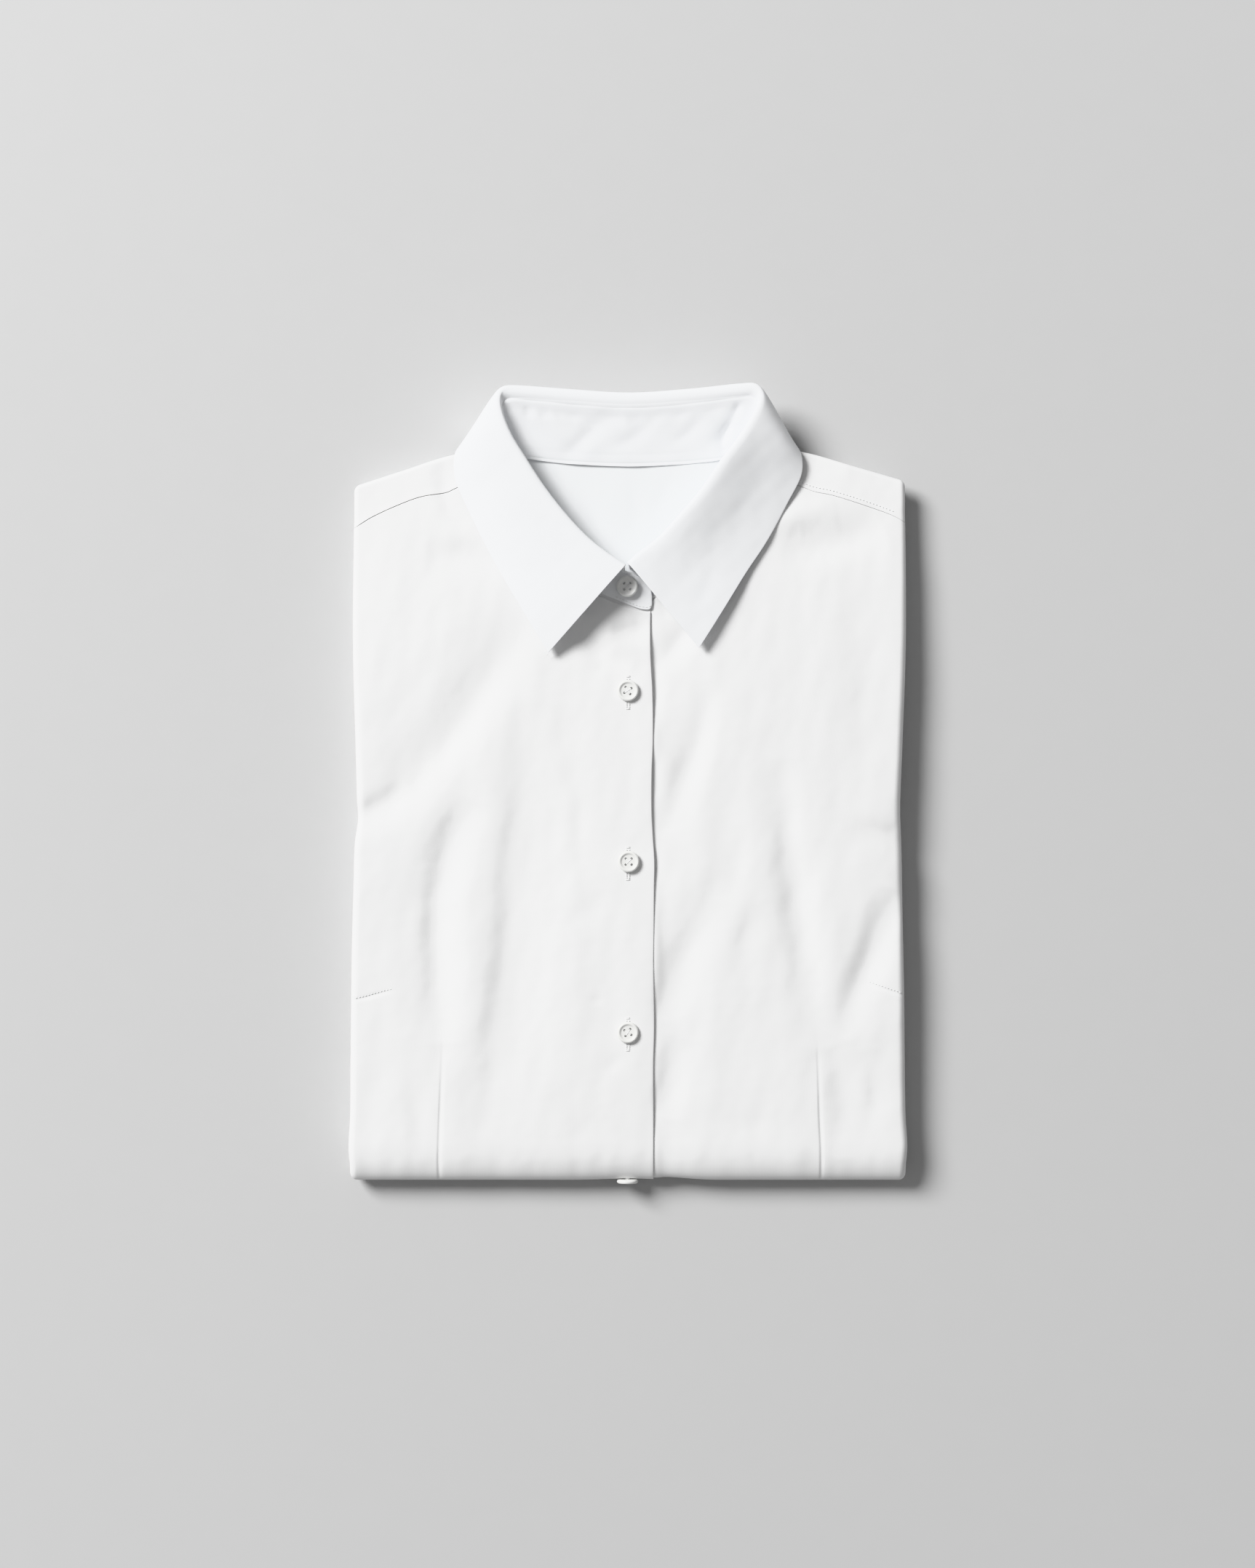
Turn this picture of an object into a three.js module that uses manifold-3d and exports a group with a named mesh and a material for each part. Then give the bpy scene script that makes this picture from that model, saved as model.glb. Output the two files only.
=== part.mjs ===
// A women's button-front shirt in white cotton poplin, folded for the shelf and lying on its back.
// Millimetres. +X is the viewer's right, +Y runs from the bottom fold to the collar, +Z is up.
// The fronts, yoke and collar are walls of cloth. Everything folded away under them is one solid,
// layered at its edges. The shirt rests on z = 0, and the origin is under the middle of its outline.

import * as THREE from "three";
import { mergeVertices } from "three/addons/utils/BufferGeometryUtils.js";
import Module from "manifold-3d";

const wasm = await Module();
wasm.setup();

// ---------------------------------------------------------------- driving dimensions

const CLOTH = 1.2; // wall of the fronts and the yoke, two plies and the air between them
const LEAF = 1.5; // wall of the collar leaf, two plies and interlining
const STAND = 1.6; // wall of the collar stand
const SEAM_GAP = 0.7; // air between two pieces at a seam
const LAP = 1.5; // how far the left front lies below the lapping right front

const PLACKET_EDGE = 13.3; // X of the right front's free edge
const UNDERLAP_EDGE = -14; // X of the left front's free edge, under the placket
const BOTTOM_Y = -211.0; // outline of the bottom fold
const BOTTOM_DENT = 0.7; // how far the placket's stiff band draws the fold in at the centre
const BOTTOM_DENT_WIDTH = 16;
const UNDER_FLAP = 29; // how far the fronts run back under the bottom fold
const LIP = 0.2; // radius of a side fold, as a share of the thickness there

const BUTTON_RADIUS = 5.7; // an 18-line shirt button
const BUTTON_THICKNESS = 2.2;
const BUTTON_HOLE_RADIUS = 0.65;
const BUTTON_HOLE_SPACING = 3.1;
const BUTTON_SEAT = 0.35; // the thread holds a button this far off the cloth
const BUTTON_SPACING = 90.4;
const TOP_BUTTON_Y = 49.0;

// The side folds, a row for each change of direction.
const SIDE_OUTLINE = [
  { y: -206, left: -147.2, right: 147.2 },
  { y: -193, left: -148.2, right: 148.2 },
  { y: -176, left: -147.3, right: 147.3 },
  { y: -150, left: -147.1, right: 146.9 },
  { y: -112, left: -146.7, right: 146.5 },
  { y: -86, left: -146.3, right: 146.0 },
  { y: -52, left: -145.4, right: 145.4 },
  { y: -32, left: -144.8, right: 145.1 },
  { y: -19, left: -143.2, right: 144.5 },
  { y: -8, left: -143.7, right: 144.5 },
  { y: 20, left: -144.4, right: 145.6 },
  { y: 77, left: -145.9, right: 147.5 },
  { y: 150, left: -145.3, right: 147.2 },
  { y: 178, left: -144.8, right: 146.3 },
];

// The shoulder fold, from the left side to the right.
const SHOULDER_OUTLINE = [
  { x: -146, y: 157.5 },
  { x: -120, y: 166.0 },
  { x: -91, y: 175.0 },
  { x: -62, y: 177.0 },
  { x: 62, y: 177.5 },
  { x: 91.5, y: 176.4 },
  { x: 120, y: 168.5 },
  { x: 147.5, y: 160.5 },
];

// The thickness of the folded shirt, at the centre and at the side folds.
const THICKNESS = [
  { y: -202, centre: 19.6, side: 18.6 },
  { y: -150, centre: 21.0, side: 19.2 },
  { y: -80, centre: 22.4, side: 19.6 },
  { y: 0, centre: 22.6, side: 19.4 },
  { y: 60, centre: 21.5, side: 18.6 },
  { y: 110, centre: 19.2, side: 16.8 },
  { y: 150, centre: 16.2, side: 14.5 },
  { y: 178, centre: 13.0, side: 12.5 },
];

// The seam from yoke to right front, then on round the neckline to the placket.
const RIGHT_FRONT_TOP = [
  { x: -149, y: 133.5 },
  { x: -144.6, y: 135.9 },
  { x: -135.9, y: 141.3 },
  { x: -122.1, y: 147.7 },
  { x: -110.2, y: 152.1 },
  { x: -96.1, y: 154.6 },
  { x: -90.1, y: 157.2 },
  { x: -72.0, y: 160.5 },
  { x: -65.5, y: 139.0 },
  { x: -55.0, y: 122.5 },
  { x: -42.0, y: 111.3 },
  { x: -27.0, y: 103.6 },
  { x: -14.5, y: 99.2 },
  { x: -2.7, y: 94.4 },
  { x: 7.2, y: 91.2 },
  { x: 14.0, y: 90.6 },
];

// The same for the left front, from its hidden edge out to the side.
const LEFT_FRONT_TOP = [
  { x: -15, y: 93.0 },
  { x: -6.0, y: 92.2 },
  { x: 6.5, y: 94.6 },
  { x: 14.5, y: 98.0 },
  { x: 27.0, y: 103.2 },
  { x: 42.0, y: 111.0 },
  { x: 55.0, y: 122.2 },
  { x: 65.5, y: 139.0 },
  { x: 72.0, y: 161.5 },
  { x: 90.3, y: 158.2 },
  { x: 98.7, y: 155.0 },
  { x: 109.2, y: 152.8 },
  { x: 129.5, y: 146.3 },
  { x: 141.3, y: 141.8 },
  { x: 150, y: 136.8 },
];

// The main folds of the fronts, as soft troughs: depth, half width and the line each follows.
const TROUGHS = [
  { name: "right chest", depth: 3.1, width: 12, line: [[-56, 92], [-71, 62], [-85, 34], [-138, -20]] },
  { name: "right side", depth: 3.0, width: 8, line: [[-84, -8], [-97, -42], [-101.5, -80], [-98.5, -142]] },
  { name: "right waist", depth: 2.8, width: 13, line: [[-55, 44], [-57, -20], [-71, -150], [-80, -186]] },
  { name: "right middle", depth: 0.9, width: 9, line: [[-35, 50], [-24, -10], [-20, -58]] },
  { name: "right shoulder", depth: 1.5, width: 9, line: [[-108, 122], [-88, 121], [-66, 114]] },
  { name: "left neck", depth: 1.7, width: 5, line: [[34, 84], [27, 74], [18, 62]] },
  { name: "left chest", depth: 2.0, width: 6, line: [[43, 54], [33, 9], [17, -28]] },
  { name: "left middle", depth: 1.9, width: 7, line: [[49, -46], [33, -85], [16, -124]] },
  { name: "left waist", depth: 2.9, width: 8, line: [[82, 12], [87, -34], [95, -100], [99.5, -143]] },
  { name: "left side", depth: 3.1, width: 6, line: [[138, -62], [125, -99], [113, -134]] },
  { name: "left shoulder", depth: 2.0, width: 9, line: [[78, 133], [92, 125], [112, 128], [134, 136]] },
  { name: "left hem", depth: 1.2, width: 8, line: [[28, -134], [24, -152], [19, -176]] },
];
const TROUGH_END_FADE = 0.04; // share of a trough's length over which its depth stops fading

// The collar, a row for each section from the right point round the neck to the left point.
// roll: the crest that shows. facing: the side the leaf falls to, in degrees. behind: 1 where the
// leaf drops behind the crest and 0 where it lies out over the front. edge: the leaf's outer edge.
// full: how far the leaf swells out between them. turn and drop: from the crest to the leaf's seam.
// neck: the stand's lower edge. sag: how far the stand bows down between its edges.
const COLLAR = [
  // roll, facing, behind, edge, full, turn, drop, neck, sag
  [[-2.1, 113.2, 35.2], 222, 0, [-41.8, 69.1, 24.8], 1.8, 1.6, 11.8, [-2.7, 95.8, 20.5], 0],
  [[-12, 119.9, 34.4], 222, 0, [-48.8, 80.8, 25.4], 1.6, 2, 11.2, [-14.5, 100.6, 20.2], 0],
  [[-22.3, 128.5, 33.6], 221, 0, [-55.7, 92.4, 24.6], 1.6, 2.2, 10.2, [-27, 105, 20], 0],
  [[-33.5, 140.6, 33.2], 220, 0, [-64.7, 107.6, 22.8], 2, 2.4, 9.4, [-42, 112.5, 19.6], 0.6],
  [[-44.7, 155.1, 33], 216, 0, [-74, 124.5, 20.8], 2.6, 2.6, 8.8, [-55, 124, 19], 1.2],
  [[-54.8, 170.7, 32.9], 212, 0, [-83.6, 144.2, 18.8], 3.2, 2.8, 8, [-64, 138, 18.5], 1.6],
  [[-62.1, 182.5, 32.6], 204, 0.05, [-90.5, 160.4, 17.2], 3.6, 3.4, 7, [-68, 152, 18.2], 2.6],
  [[-67, 194, 31.6], 178, 0.2, [-91, 173.2, 15.9], 3.8, 4.2, 5.4, [-67, 163, 18], 3.2],
  [[-68.6, 202.2, 29.8], 155, 0.5, [-86.5, 179.8, 8.6], 2, 4.8, 3.8, [-61, 170, 17.9], 2.4],
  [[-66, 207.5, 27.6], 115, 0.85, [-75, 183, 2.3], 4.5, 5.4, 2.4, [-54.5, 171.9, 17.9], 0.8],
  [[-57, 208.7, 26.6], 92, 1, [-60.5, 184.2, 2], 6.6, 6, 1.5, [-43.5, 170.6, 17.9], 0],
  [[-31, 206.9, 26], 90, 1, [-32, 184.2, 2], 6.6, 6.2, 1.2, [-25, 168.9, 17.9], 0],
  [[0.5, 205.1, 25.8], 90, 1, [0.5, 184, 2], 6.6, 6.2, 1.1, [0.5, 168, 17.9], 0],
  [[31, 206.9, 26], 90, 1, [33, 184.2, 2], 6.6, 6.2, 1.2, [25, 168.9, 17.9], 0],
  [[58.5, 209.6, 26.8], 88, 1, [61.5, 184.4, 2], 6.6, 6, 1.6, [43, 170.5, 17.9], 0],
  [[67.8, 208.9, 27.3], 65, 0.85, [76.5, 183.4, 2.3], 3.8, 5, 2.2, [53.5, 171.8, 17.9], 0.3],
  [[70.8, 202.9, 28.6], 25, 0.5, [86.6, 180.3, 8.6], 2, 4.2, 3.3, [61, 170, 17.9], 0.6],
  [[67.4, 194.4, 29.6], 2, 0.2, [91.2, 173.6, 15.9], 1.4, 3.2, 4.7, [67, 163, 18], 1],
  [[59.8, 182.6, 30.2], -24, 0.05, [91.4, 163, 17], 0.2, 2.2, 5.7, [68, 152, 18.2], 1],
  [[50.4, 170.2, 30.9], -32, 0, [83.9, 147.8, 18.2], -0.4, 2.1, 7.1, [64, 138, 18.5], 1],
  [[39.3, 154, 31.7], -36, 0, [73.4, 128.3, 19.9], -0.8, 2.1, 8.2, [55, 124, 19], 0.8],
  [[28.2, 140.7, 32.2], -40, 0, [62.4, 111.6, 22], -1, 2.1, 9.1, [42, 112.5, 19.6], 0.6],
  [[17.1, 128.5, 32.2], -41, 0, [52.4, 95.2, 24.4], -1.1, 2.1, 9.7, [27, 105, 19.8], 0.8],
  [[6.9, 120.3, 32.2], -42, 0, [44.4, 82.3, 25.6], -1, 2.1, 10.5, [14.5, 99.8, 18.7], 1.2],
  [[0.7, 114.8, 31.6], -42, 0, [37.6, 71.5, 25.6], -0.6, 1.8, 10.6, [6.5, 96.4, 17.6], 0.8],
].map(([roll, facing, behind, edge, full, turn, drop, neck, sag]) => (
  { roll, facing, behind, edge, full, turn, drop, neck, sag }
));
const ROLL_RADIUS = 2.2; // outer radius of the leaf's crest

// The lapped front ends of the stand, from the free end inwards.
const STAND_OVER_END = [
  { x: 12.7, bottom: 94.4, top: 99.4, z: 20.3 },
  { x: 11.4, bottom: 92.2, top: 104.0, z: 20.4 },
  { x: 7.2, bottom: 92.2, top: 108.2, z: 20.5 },
  { x: 2.0, bottom: 93.9, top: 111.2, z: 20.5 },
];
const STAND_UNDER_END = [
  { x: 0.0, bottom: 95.0, top: 110.5, z: 17.2 },
  { x: -6.0, bottom: 94.6, top: 109.0, z: 17.0 },
  { x: -11.6, bottom: 95.2, top: 105.0, z: 17.0 },
  { x: -12.9, bottom: 97.2, top: 101.0, z: 17.0 },
];
const STAND_RISE = 0.07; // slope of the stand's lapped ends, up towards the neck

// The inside of the yoke, seen through the neck: half its width and its height at each y.
const YOKE_INSIDE = [
  { y: 100, half: 13, z: 12.7 },
  { y: 118, half: 27, z: 13.4 },
  { y: 136, half: 42, z: 14.6 },
  { y: 152, half: 53, z: 16.0 },
  { y: 166.8, half: 56, z: 17.1 },
];
const YOKE_INSIDE_RIPPLE = 0.3; // height of the slack in it

// The layers seen at the sides, under the fronts: how deep each ring is set in and how high it lies.
// level is a share of the thickness there, and a loose edge wanders in and out.
const EDGE_LAYERS = [
  { name: "underside", inset: 3.6, level: 0 },
  { name: "lower lip", inset: 1.3, level: 0.055 },
  { name: "lower lip", inset: 0.4, level: 0.13 },
  { name: "lower lip", inset: 0.3, level: 0.22 },
  { name: "lower lip", inset: 1.2, level: 0.32 },
  { name: "lower lip", inset: 3.4, level: 0.385 },
  { name: "sleeve", inset: 4.9, level: 0.4, loose: true },
  { name: "sleeve", inset: 3.3, level: 0.43, loose: true },
  { name: "sleeve", inset: 3.5, level: 0.465, loose: true },
  { name: "between", inset: 5.4, level: 0.48, loose: true },
  { name: "cuff", inset: 4.3, level: 0.505, loose: true },
  { name: "cuff", inset: 4.4, level: 0.54, loose: true },
  { name: "between", inset: 5.6, level: 0.555, loose: true },
  { name: "inner fold", inset: 5.6, level: 0.7 },
];
const CORE_CLEARANCE = 4.7; // from the fronts' outer face down to the hidden layers
const CORE_NECK_TOP = 10.1; // top of the hidden layers under the front of the open neck
const CORE_NAPE_TOP = 12.6; // their top under its back
const CORE_END_Y = -170; // where the layers turn into the bottom fold
const CORE_BACK_INSET = 4.5; // how far the layers stay inside the shoulder fold
const CORE_CORNER_X = 139; // |X| where the layers' back edge turns into their sides
const CORE_END_X = 141; // half their width at the bottom fold
const CORE_UNDER_INSET = 24; // how far in the underside's flat begins
const CORE_TOP_INSET = 2.4; // from the innermost layer to where the top's slope begins
const CORE_RIPPLE = 0.5; // how far the sleeve and cuff edges wander in and out
const CORE_RIPPLE_LENGTH = 17;
const CORE_TOP_SHARES = [1, 0.86, 0.66, 0.44, 0.22]; // rings over the top, as shares of the way out
const CORE_END_CLEARANCE = 3.5; // from the bottom fold's outer face to the layers inside it
const CORE_END_OVERLAP = 12; // how far the rounded end runs into the layers

// ---------------------------------------------------------------- small tools

const clamp = (value, low, high) => Math.min(high, Math.max(low, value));
const mix = (a, b, t) => a + (b - a) * t;
const smooth = (low, high, value) => {
  const t = clamp((value - low) / (high - low), 0, 1);
  return t * t * (3 - 2 * t);
};

/** A smooth curve through four numbers, from b at t = 0 to c at t = 1. */
function catmull(a, b, c, d, t) {
  const bend = (2 * a - 5 * b + 4 * c - d) * t * t + (3 * (b - c) + d - a) * t * t * t;
  return b + 0.5 * ((c - a) * t + bend);
}

/** Reads column `key` of a table at `at`, smoothly, where column `by` grows down the table. */
function read(table, by, key, at) {
  const last = table.length - 1;
  const place = clamp(at, table[0][by], table[last][by]);
  let row = 0;
  while (row < last - 1 && table[row + 1][by] < place) row += 1;
  const span = table[row + 1][by] - table[row][by];
  const t = (place - table[row][by]) / span;
  const slope = (k) => {
    const before = table[Math.max(k - 1, 0)];
    const after = table[Math.min(k + 1, last)];
    return (after[key] - before[key]) / (after[by] - before[by]);
  };
  const from = table[row][key];
  const to = table[row + 1][key];
  const ease = t * t * (3 - 2 * t);
  const tangents = slope(row) * t * (1 - t) * (1 - t) - slope(row + 1) * t * t * (1 - t);
  return mix(from, to, ease) + span * tangents;
}

/** Distance from (x, y) to a polyline, and how far along it the nearest point is, from 0 to 1. */
function nearest(line, x, y) {
  const steps = line.slice(1).map((p, k) => Math.hypot(p[0] - line[k][0], p[1] - line[k][1]));
  const total = steps.reduce((sum, step) => sum + step, 0);
  let best = { distance: Infinity, along: 0 };
  let walked = 0;
  for (let k = 0; k < line.length - 1; k += 1) {
    const [ax, ay] = line[k];
    const [dx, dy] = [line[k + 1][0] - ax, line[k + 1][1] - ay];
    const length = Math.hypot(dx, dy);
    const t = clamp(((x - ax) * dx + (y - ay) * dy) / (length * length), 0, 1);
    const distance = Math.hypot(x - ax - t * dx, y - ay - t * dy);
    if (distance < best.distance) best = { distance, along: (walked + t * length) / total };
    walked += length;
  }
  return best;
}

/** Merges shared corners and drops the empty triangles at poles and seams. */
function welded(geometry) {
  const bare = geometry.clone();
  bare.deleteAttribute("normal");
  bare.deleteAttribute("uv");
  const merged = mergeVertices(bare, 1e-4);
  const index = merged.getIndex().array;
  const kept = [];
  for (let k = 0; k < index.length; k += 3) {
    const [a, b, c] = [index[k], index[k + 1], index[k + 2]];
    if (a !== b && b !== c && c !== a) kept.push(a, b, c);
  }
  merged.setIndex(kept);
  return merged;
}

function toManifold(geometry) {
  const merged = welded(geometry);
  return new wasm.Manifold(new wasm.Mesh({
    numProp: 3,
    vertProperties: new Float32Array(merged.getAttribute("position").array),
    triVerts: new Uint32Array(merged.getIndex().array),
  }));
}

function fromManifold(solid) {
  const mesh = solid.getMesh();
  return geometryOf(Array.from(mesh.vertProperties), Array.from(mesh.triVerts));
}

function geometryOf(positions, indices) {
  const geometry = new THREE.BufferGeometry();
  geometry.setAttribute("position", new THREE.Float32BufferAttribute(positions, 3));
  geometry.setIndex(indices);
  geometry.computeVertexNormals();
  return geometry;
}

/** Six times the volume inside a triangle list, negative when its faces point inwards. */
function signedVolume(points, indices) {
  let sum = 0;
  for (let k = 0; k < indices.length; k += 3) {
    const [a, b, c] = [points[indices[k]], points[indices[k + 1]], points[indices[k + 2]]];
    sum += a.dot(b.clone().cross(c));
  }
  return sum;
}

function closedGeometry(points, indices) {
  if (signedVolume(points, indices) < 0) indices.reverse();
  return geometryOf(points.flatMap((p) => [p.x, p.y, p.z]), indices);
}

/**
 * A closed wall of cloth over a grid. point(i, j) is the face that shows. `side` is +1 where the
 * cloth's thickness goes against the grid's normal and -1 where it goes along it. `centred` puts
 * half of the thickness on each side of the grid.
 */
function wall(columns, rows, thickness, side, point, centred = false) {
  const grid = [];
  for (let i = 0; i <= columns; i += 1) {
    for (let j = 0; j <= rows; j += 1) grid.push(new THREE.Vector3(...point(i, j)));
  }
  const at = (i, j) => clamp(i, 0, columns) * (rows + 1) + clamp(j, 0, rows);
  const outer = [];
  const inner = [];
  for (let i = 0; i <= columns; i += 1) {
    for (let j = 0; j <= rows; j += 1) {
      const across = grid[at(i + 1, j)].clone().sub(grid[at(i - 1, j)]);
      const along = grid[at(i, j + 1)].clone().sub(grid[at(i, j - 1)]);
      const inward = across.cross(along).normalize().multiplyScalar(-side * thickness);
      const face = grid[at(i, j)].clone().addScaledVector(inward, centred ? -0.5 : 0);
      outer.push(face);
      inner.push(face.clone().add(inward));
    }
  }
  const shift = outer.length;
  const indices = [];
  const quad = (a, b, c, d) => indices.push(a, b, c, a, c, d);
  for (let i = 0; i < columns; i += 1) {
    for (let j = 0; j < rows; j += 1) {
      const corners = [at(i, j), at(i + 1, j), at(i + 1, j + 1), at(i, j + 1)];
      quad(...corners);
      const [a, b, c, d] = corners.map((k) => k + shift);
      indices.push(c, b, a, d, c, a);
    }
  }
  for (let i = 0; i < columns; i += 1) {
    quad(at(i + 1, 0), at(i, 0), at(i, 0) + shift, at(i + 1, 0) + shift);
    quad(at(i, rows), at(i + 1, rows), at(i + 1, rows) + shift, at(i, rows) + shift);
  }
  for (let j = 0; j < rows; j += 1) {
    quad(at(0, j), at(0, j + 1), at(0, j + 1) + shift, at(0, j) + shift);
    quad(at(columns, j + 1), at(columns, j), at(columns, j) + shift, at(columns, j + 1) + shift);
  }
  return closedGeometry(outer.concat(inner), indices);
}

// ---------------------------------------------------------------- the form of the folded body

const leftOutline = (y) => read(SIDE_OUTLINE, "y", "left", y);
const rightOutline = (y) => read(SIDE_OUTLINE, "y", "right", y);
const sideThickness = (y) => read(THICKNESS, "y", "side", y);
const shoulderY = (x) => read(SHOULDER_OUTLINE, "x", "y", x);
const lipRadius = (y) => LIP * sideThickness(y);

const HALF_WIDTH = 147;
const CROWN_POWER = 2.5; // how long the crown stays level before it falls to the sides

/** The crowned top, without folds. */
function crown(x, y) {
  const side = sideThickness(y);
  const spread = 1 - Math.pow(clamp(Math.abs(x) / HALF_WIDTH, 0, 1), CROWN_POWER);
  return side + (read(THICKNESS, "y", "centre", y) - side) * spread;
}

/** How far the troughs sink the top at (x, y). */
function troughDepth(x, y) {
  return TROUGHS.reduce((sum, trough) => {
    const { distance, along } = nearest(trough.line, x, y);
    const inner = clamp(along, TROUGH_END_FADE, 1 - TROUGH_END_FADE);
    const fade = Math.pow(Math.sin(Math.PI * inner), 0.6);
    return sum + trough.depth * fade * Math.exp(-Math.pow(distance / trough.width, 2));
  }, 0);
}

const topHeight = (x, y) => crown(x, y) - troughDepth(x, y);

const bottomOutline = (x) => BOTTOM_Y + BOTTOM_DENT * Math.exp(-Math.pow(x / BOTTOM_DENT_WIDTH, 2));

/**
 * A point of the cloth that runs down the top, round the bottom fold and back underneath.
 * y is where it lies on top; past the fold it goes on by its own length. depth is how far it is
 * inside the outer face.
 */
function foldedPoint(x, y, depth) {
  const half = crown(x, bottomOutline(x)) / 2;
  const centre = bottomOutline(x) + half;
  if (y >= centre) return [x, y, topHeight(x, y) - depth];
  const turn = (centre - y) / half;
  if (turn <= Math.PI) {
    const radius = half - depth;
    const settle = troughDepth(x, centre) * (1 - turn / Math.PI);
    return [x, centre - radius * Math.sin(turn), half + radius * Math.cos(turn) - settle];
  }
  return [x, centre + (turn - Math.PI) * half, depth];
}

/** Y of the last row of a front, measured on along the cloth past the bottom fold. */
function flapEnd(x) {
  const half = crown(x, bottomOutline(x)) / 2;
  return bottomOutline(x) + half - Math.PI * half - UNDER_FLAP;
}

/** A point of the cloth that runs up over the shoulder fold and down behind it. */
function shoulderPoint(x, y, depth) {
  const radius = lipRadius(shoulderY(x));
  const centre = shoulderY(x) - radius;
  if (y <= centre) return [x, y, topHeight(x, y) - depth];
  const turn = (y - centre) / radius;
  const z = topHeight(x, centre) - radius;
  const reach = Math.max(radius - depth, 0.05);
  return [x, centre + reach * Math.sin(turn), z + reach * Math.cos(turn)];
}

const LIP_COLUMNS = 7;
const LIP_ANGLE = THREE.MathUtils.degToRad(150);
const LIP_TURNED_SHARE = 0.7; // of that angle, where the side fold runs round the bottom fold

/**
 * Across a front: from its free edge at share 0 to the side fold at share 1, and round it past 1.
 * Gives the plan X and how far the cloth has sunk round the fold.
 */
function acrossFold(freeEdge, outline, radius, angle, share) {
  const direction = Math.sign(outline - freeEdge);
  const foldStart = outline - direction * radius;
  if (share <= 1) return { x: mix(freeEdge, foldStart, share), sunk: 0 };
  const bend = (share - 1) * angle;
  return { x: foldStart + direction * radius * Math.sin(bend), sunk: radius * (1 - Math.cos(bend)) };
}

/** Rows of a front as shares of the way down: fine at the bottom fold, even on the top. */
const TOP_ROWS = 27;
const FOLD_ROWS = 7;
const FLAP_ROWS = 1;
const FRONT_ROWS = TOP_ROWS + FOLD_ROWS + FLAP_ROWS;
const FRONT_SPAN = [148, -200]; // about where a front's rows begin and end, for its first width
const FOLD_MARGIN = 9; // the side outline is held from this far above the bottom fold on

function rowY(x, row, top) {
  const half = crown(x, bottomOutline(x)) / 2;
  const centre = bottomOutline(x) + half;
  if (row <= TOP_ROWS) return mix(top, centre, row / TOP_ROWS);
  if (row <= TOP_ROWS + FOLD_ROWS) return centre - ((row - TOP_ROWS) / FOLD_ROWS) * Math.PI * half;
  return mix(centre - Math.PI * half, flapEnd(x), (row - TOP_ROWS - FOLD_ROWS) / FLAP_ROWS);
}

const LAP_EASE = [4, 34]; // beyond the placket's edge, where the left front comes up to the face

/** How far the left front is below the outer face, under the placket and beside it. */
const lapDepth = (x) => LAP * (1 - smooth(PLACKET_EDGE + LAP_EASE[0], PLACKET_EDGE + LAP_EASE[1], x));

function front({ freeEdge, columns, topTable, outlineAt, depthAt, side }) {
  const flat = columns - LIP_COLUMNS;
  return wall(columns, FRONT_ROWS, CLOTH, side, (i, j) => {
    const share = i <= flat ? i / flat : 1 + (i - flat) / LIP_COLUMNS;
    const roughY = mix(FRONT_SPAN[0], FRONT_SPAN[1], clamp(j / TOP_ROWS, 0, 1));
    const rough = acrossFold(freeEdge, outlineAt(roughY), lipRadius(roughY), LIP_ANGLE, share);
    const y = rowY(rough.x, j, read(topTable, "x", "y", rough.x));
    const onTop = Math.max(y, BOTTOM_Y + FOLD_MARGIN);
    const turned = smooth(TOP_ROWS - 1, TOP_ROWS + 1, j) * (1 - smooth(FRONT_ROWS - 1, FRONT_ROWS, j));
    const angle = LIP_ANGLE * mix(1, LIP_TURNED_SHARE, turned);
    const { x, sunk } = acrossFold(freeEdge, outlineAt(onTop), lipRadius(onTop), angle, share);
    return foldedPoint(x, y, sunk + depthAt(x));
  });
}

const frontRight = () => front({
  freeEdge: PLACKET_EDGE,
  columns: 21,
  topTable: RIGHT_FRONT_TOP,
  outlineAt: leftOutline,
  depthAt: () => 0,
  side: 1,
});

const frontLeft = () => front({
  freeEdge: UNDERLAP_EDGE,
  columns: 20,
  topTable: LEFT_FRONT_TOP,
  outlineAt: rightOutline,
  depthAt: lapDepth,
  side: -1,
});

// ---------------------------------------------------------------- yoke

const YOKE_INNER_END = 79; // |X| where a shoulder's stretch of yoke passes in under the collar
const YOKE_COLUMNS = 12;
const YOKE_ROWS = 10;
const YOKE_LIP_COLUMNS = 5;
const YOKE_FOLD_ROWS = 6;
const YOKE_LIP_Y = 150; // where the side fold's size and outline are taken for the yoke
const YOKE_CORNER_ANGLE = THREE.MathUtils.degToRad(82); // the side fold's turn at the shoulder fold
const YOKE_FOLD_ANGLE = THREE.MathUtils.degToRad(155); // the shoulder fold's turn, down behind

function yokeShoulder(sign, outlineAt, seamTable) {
  const flat = YOKE_COLUMNS - YOKE_LIP_COLUMNS;
  const topRows = YOKE_ROWS - YOKE_FOLD_ROWS;
  return wall(YOKE_COLUMNS, YOKE_ROWS, CLOTH, sign, (i, j) => {
    const share = i <= flat ? i / flat : 1 + (i - flat) / YOKE_LIP_COLUMNS;
    const radius = lipRadius(YOKE_LIP_Y);
    const overFold = smooth(0, topRows, j);
    const angle = mix(LIP_ANGLE, YOKE_CORNER_ANGLE, overFold);
    const outline = outlineAt(YOKE_LIP_Y);
    const { x, sunk } = acrossFold(sign * YOKE_INNER_END, outline, radius, angle, share);
    const foldRadius = lipRadius(shoulderY(x));
    const seam = read(seamTable, "x", "y", x) + SEAM_GAP;
    const centre = shoulderY(x) - foldRadius;
    const y = j <= topRows
      ? mix(seam, centre, j / topRows)
      : centre + foldRadius * YOKE_FOLD_ANGLE * ((j - topRows) / YOKE_FOLD_ROWS);
    return shoulderPoint(x, y, sunk);
  });
}

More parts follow.
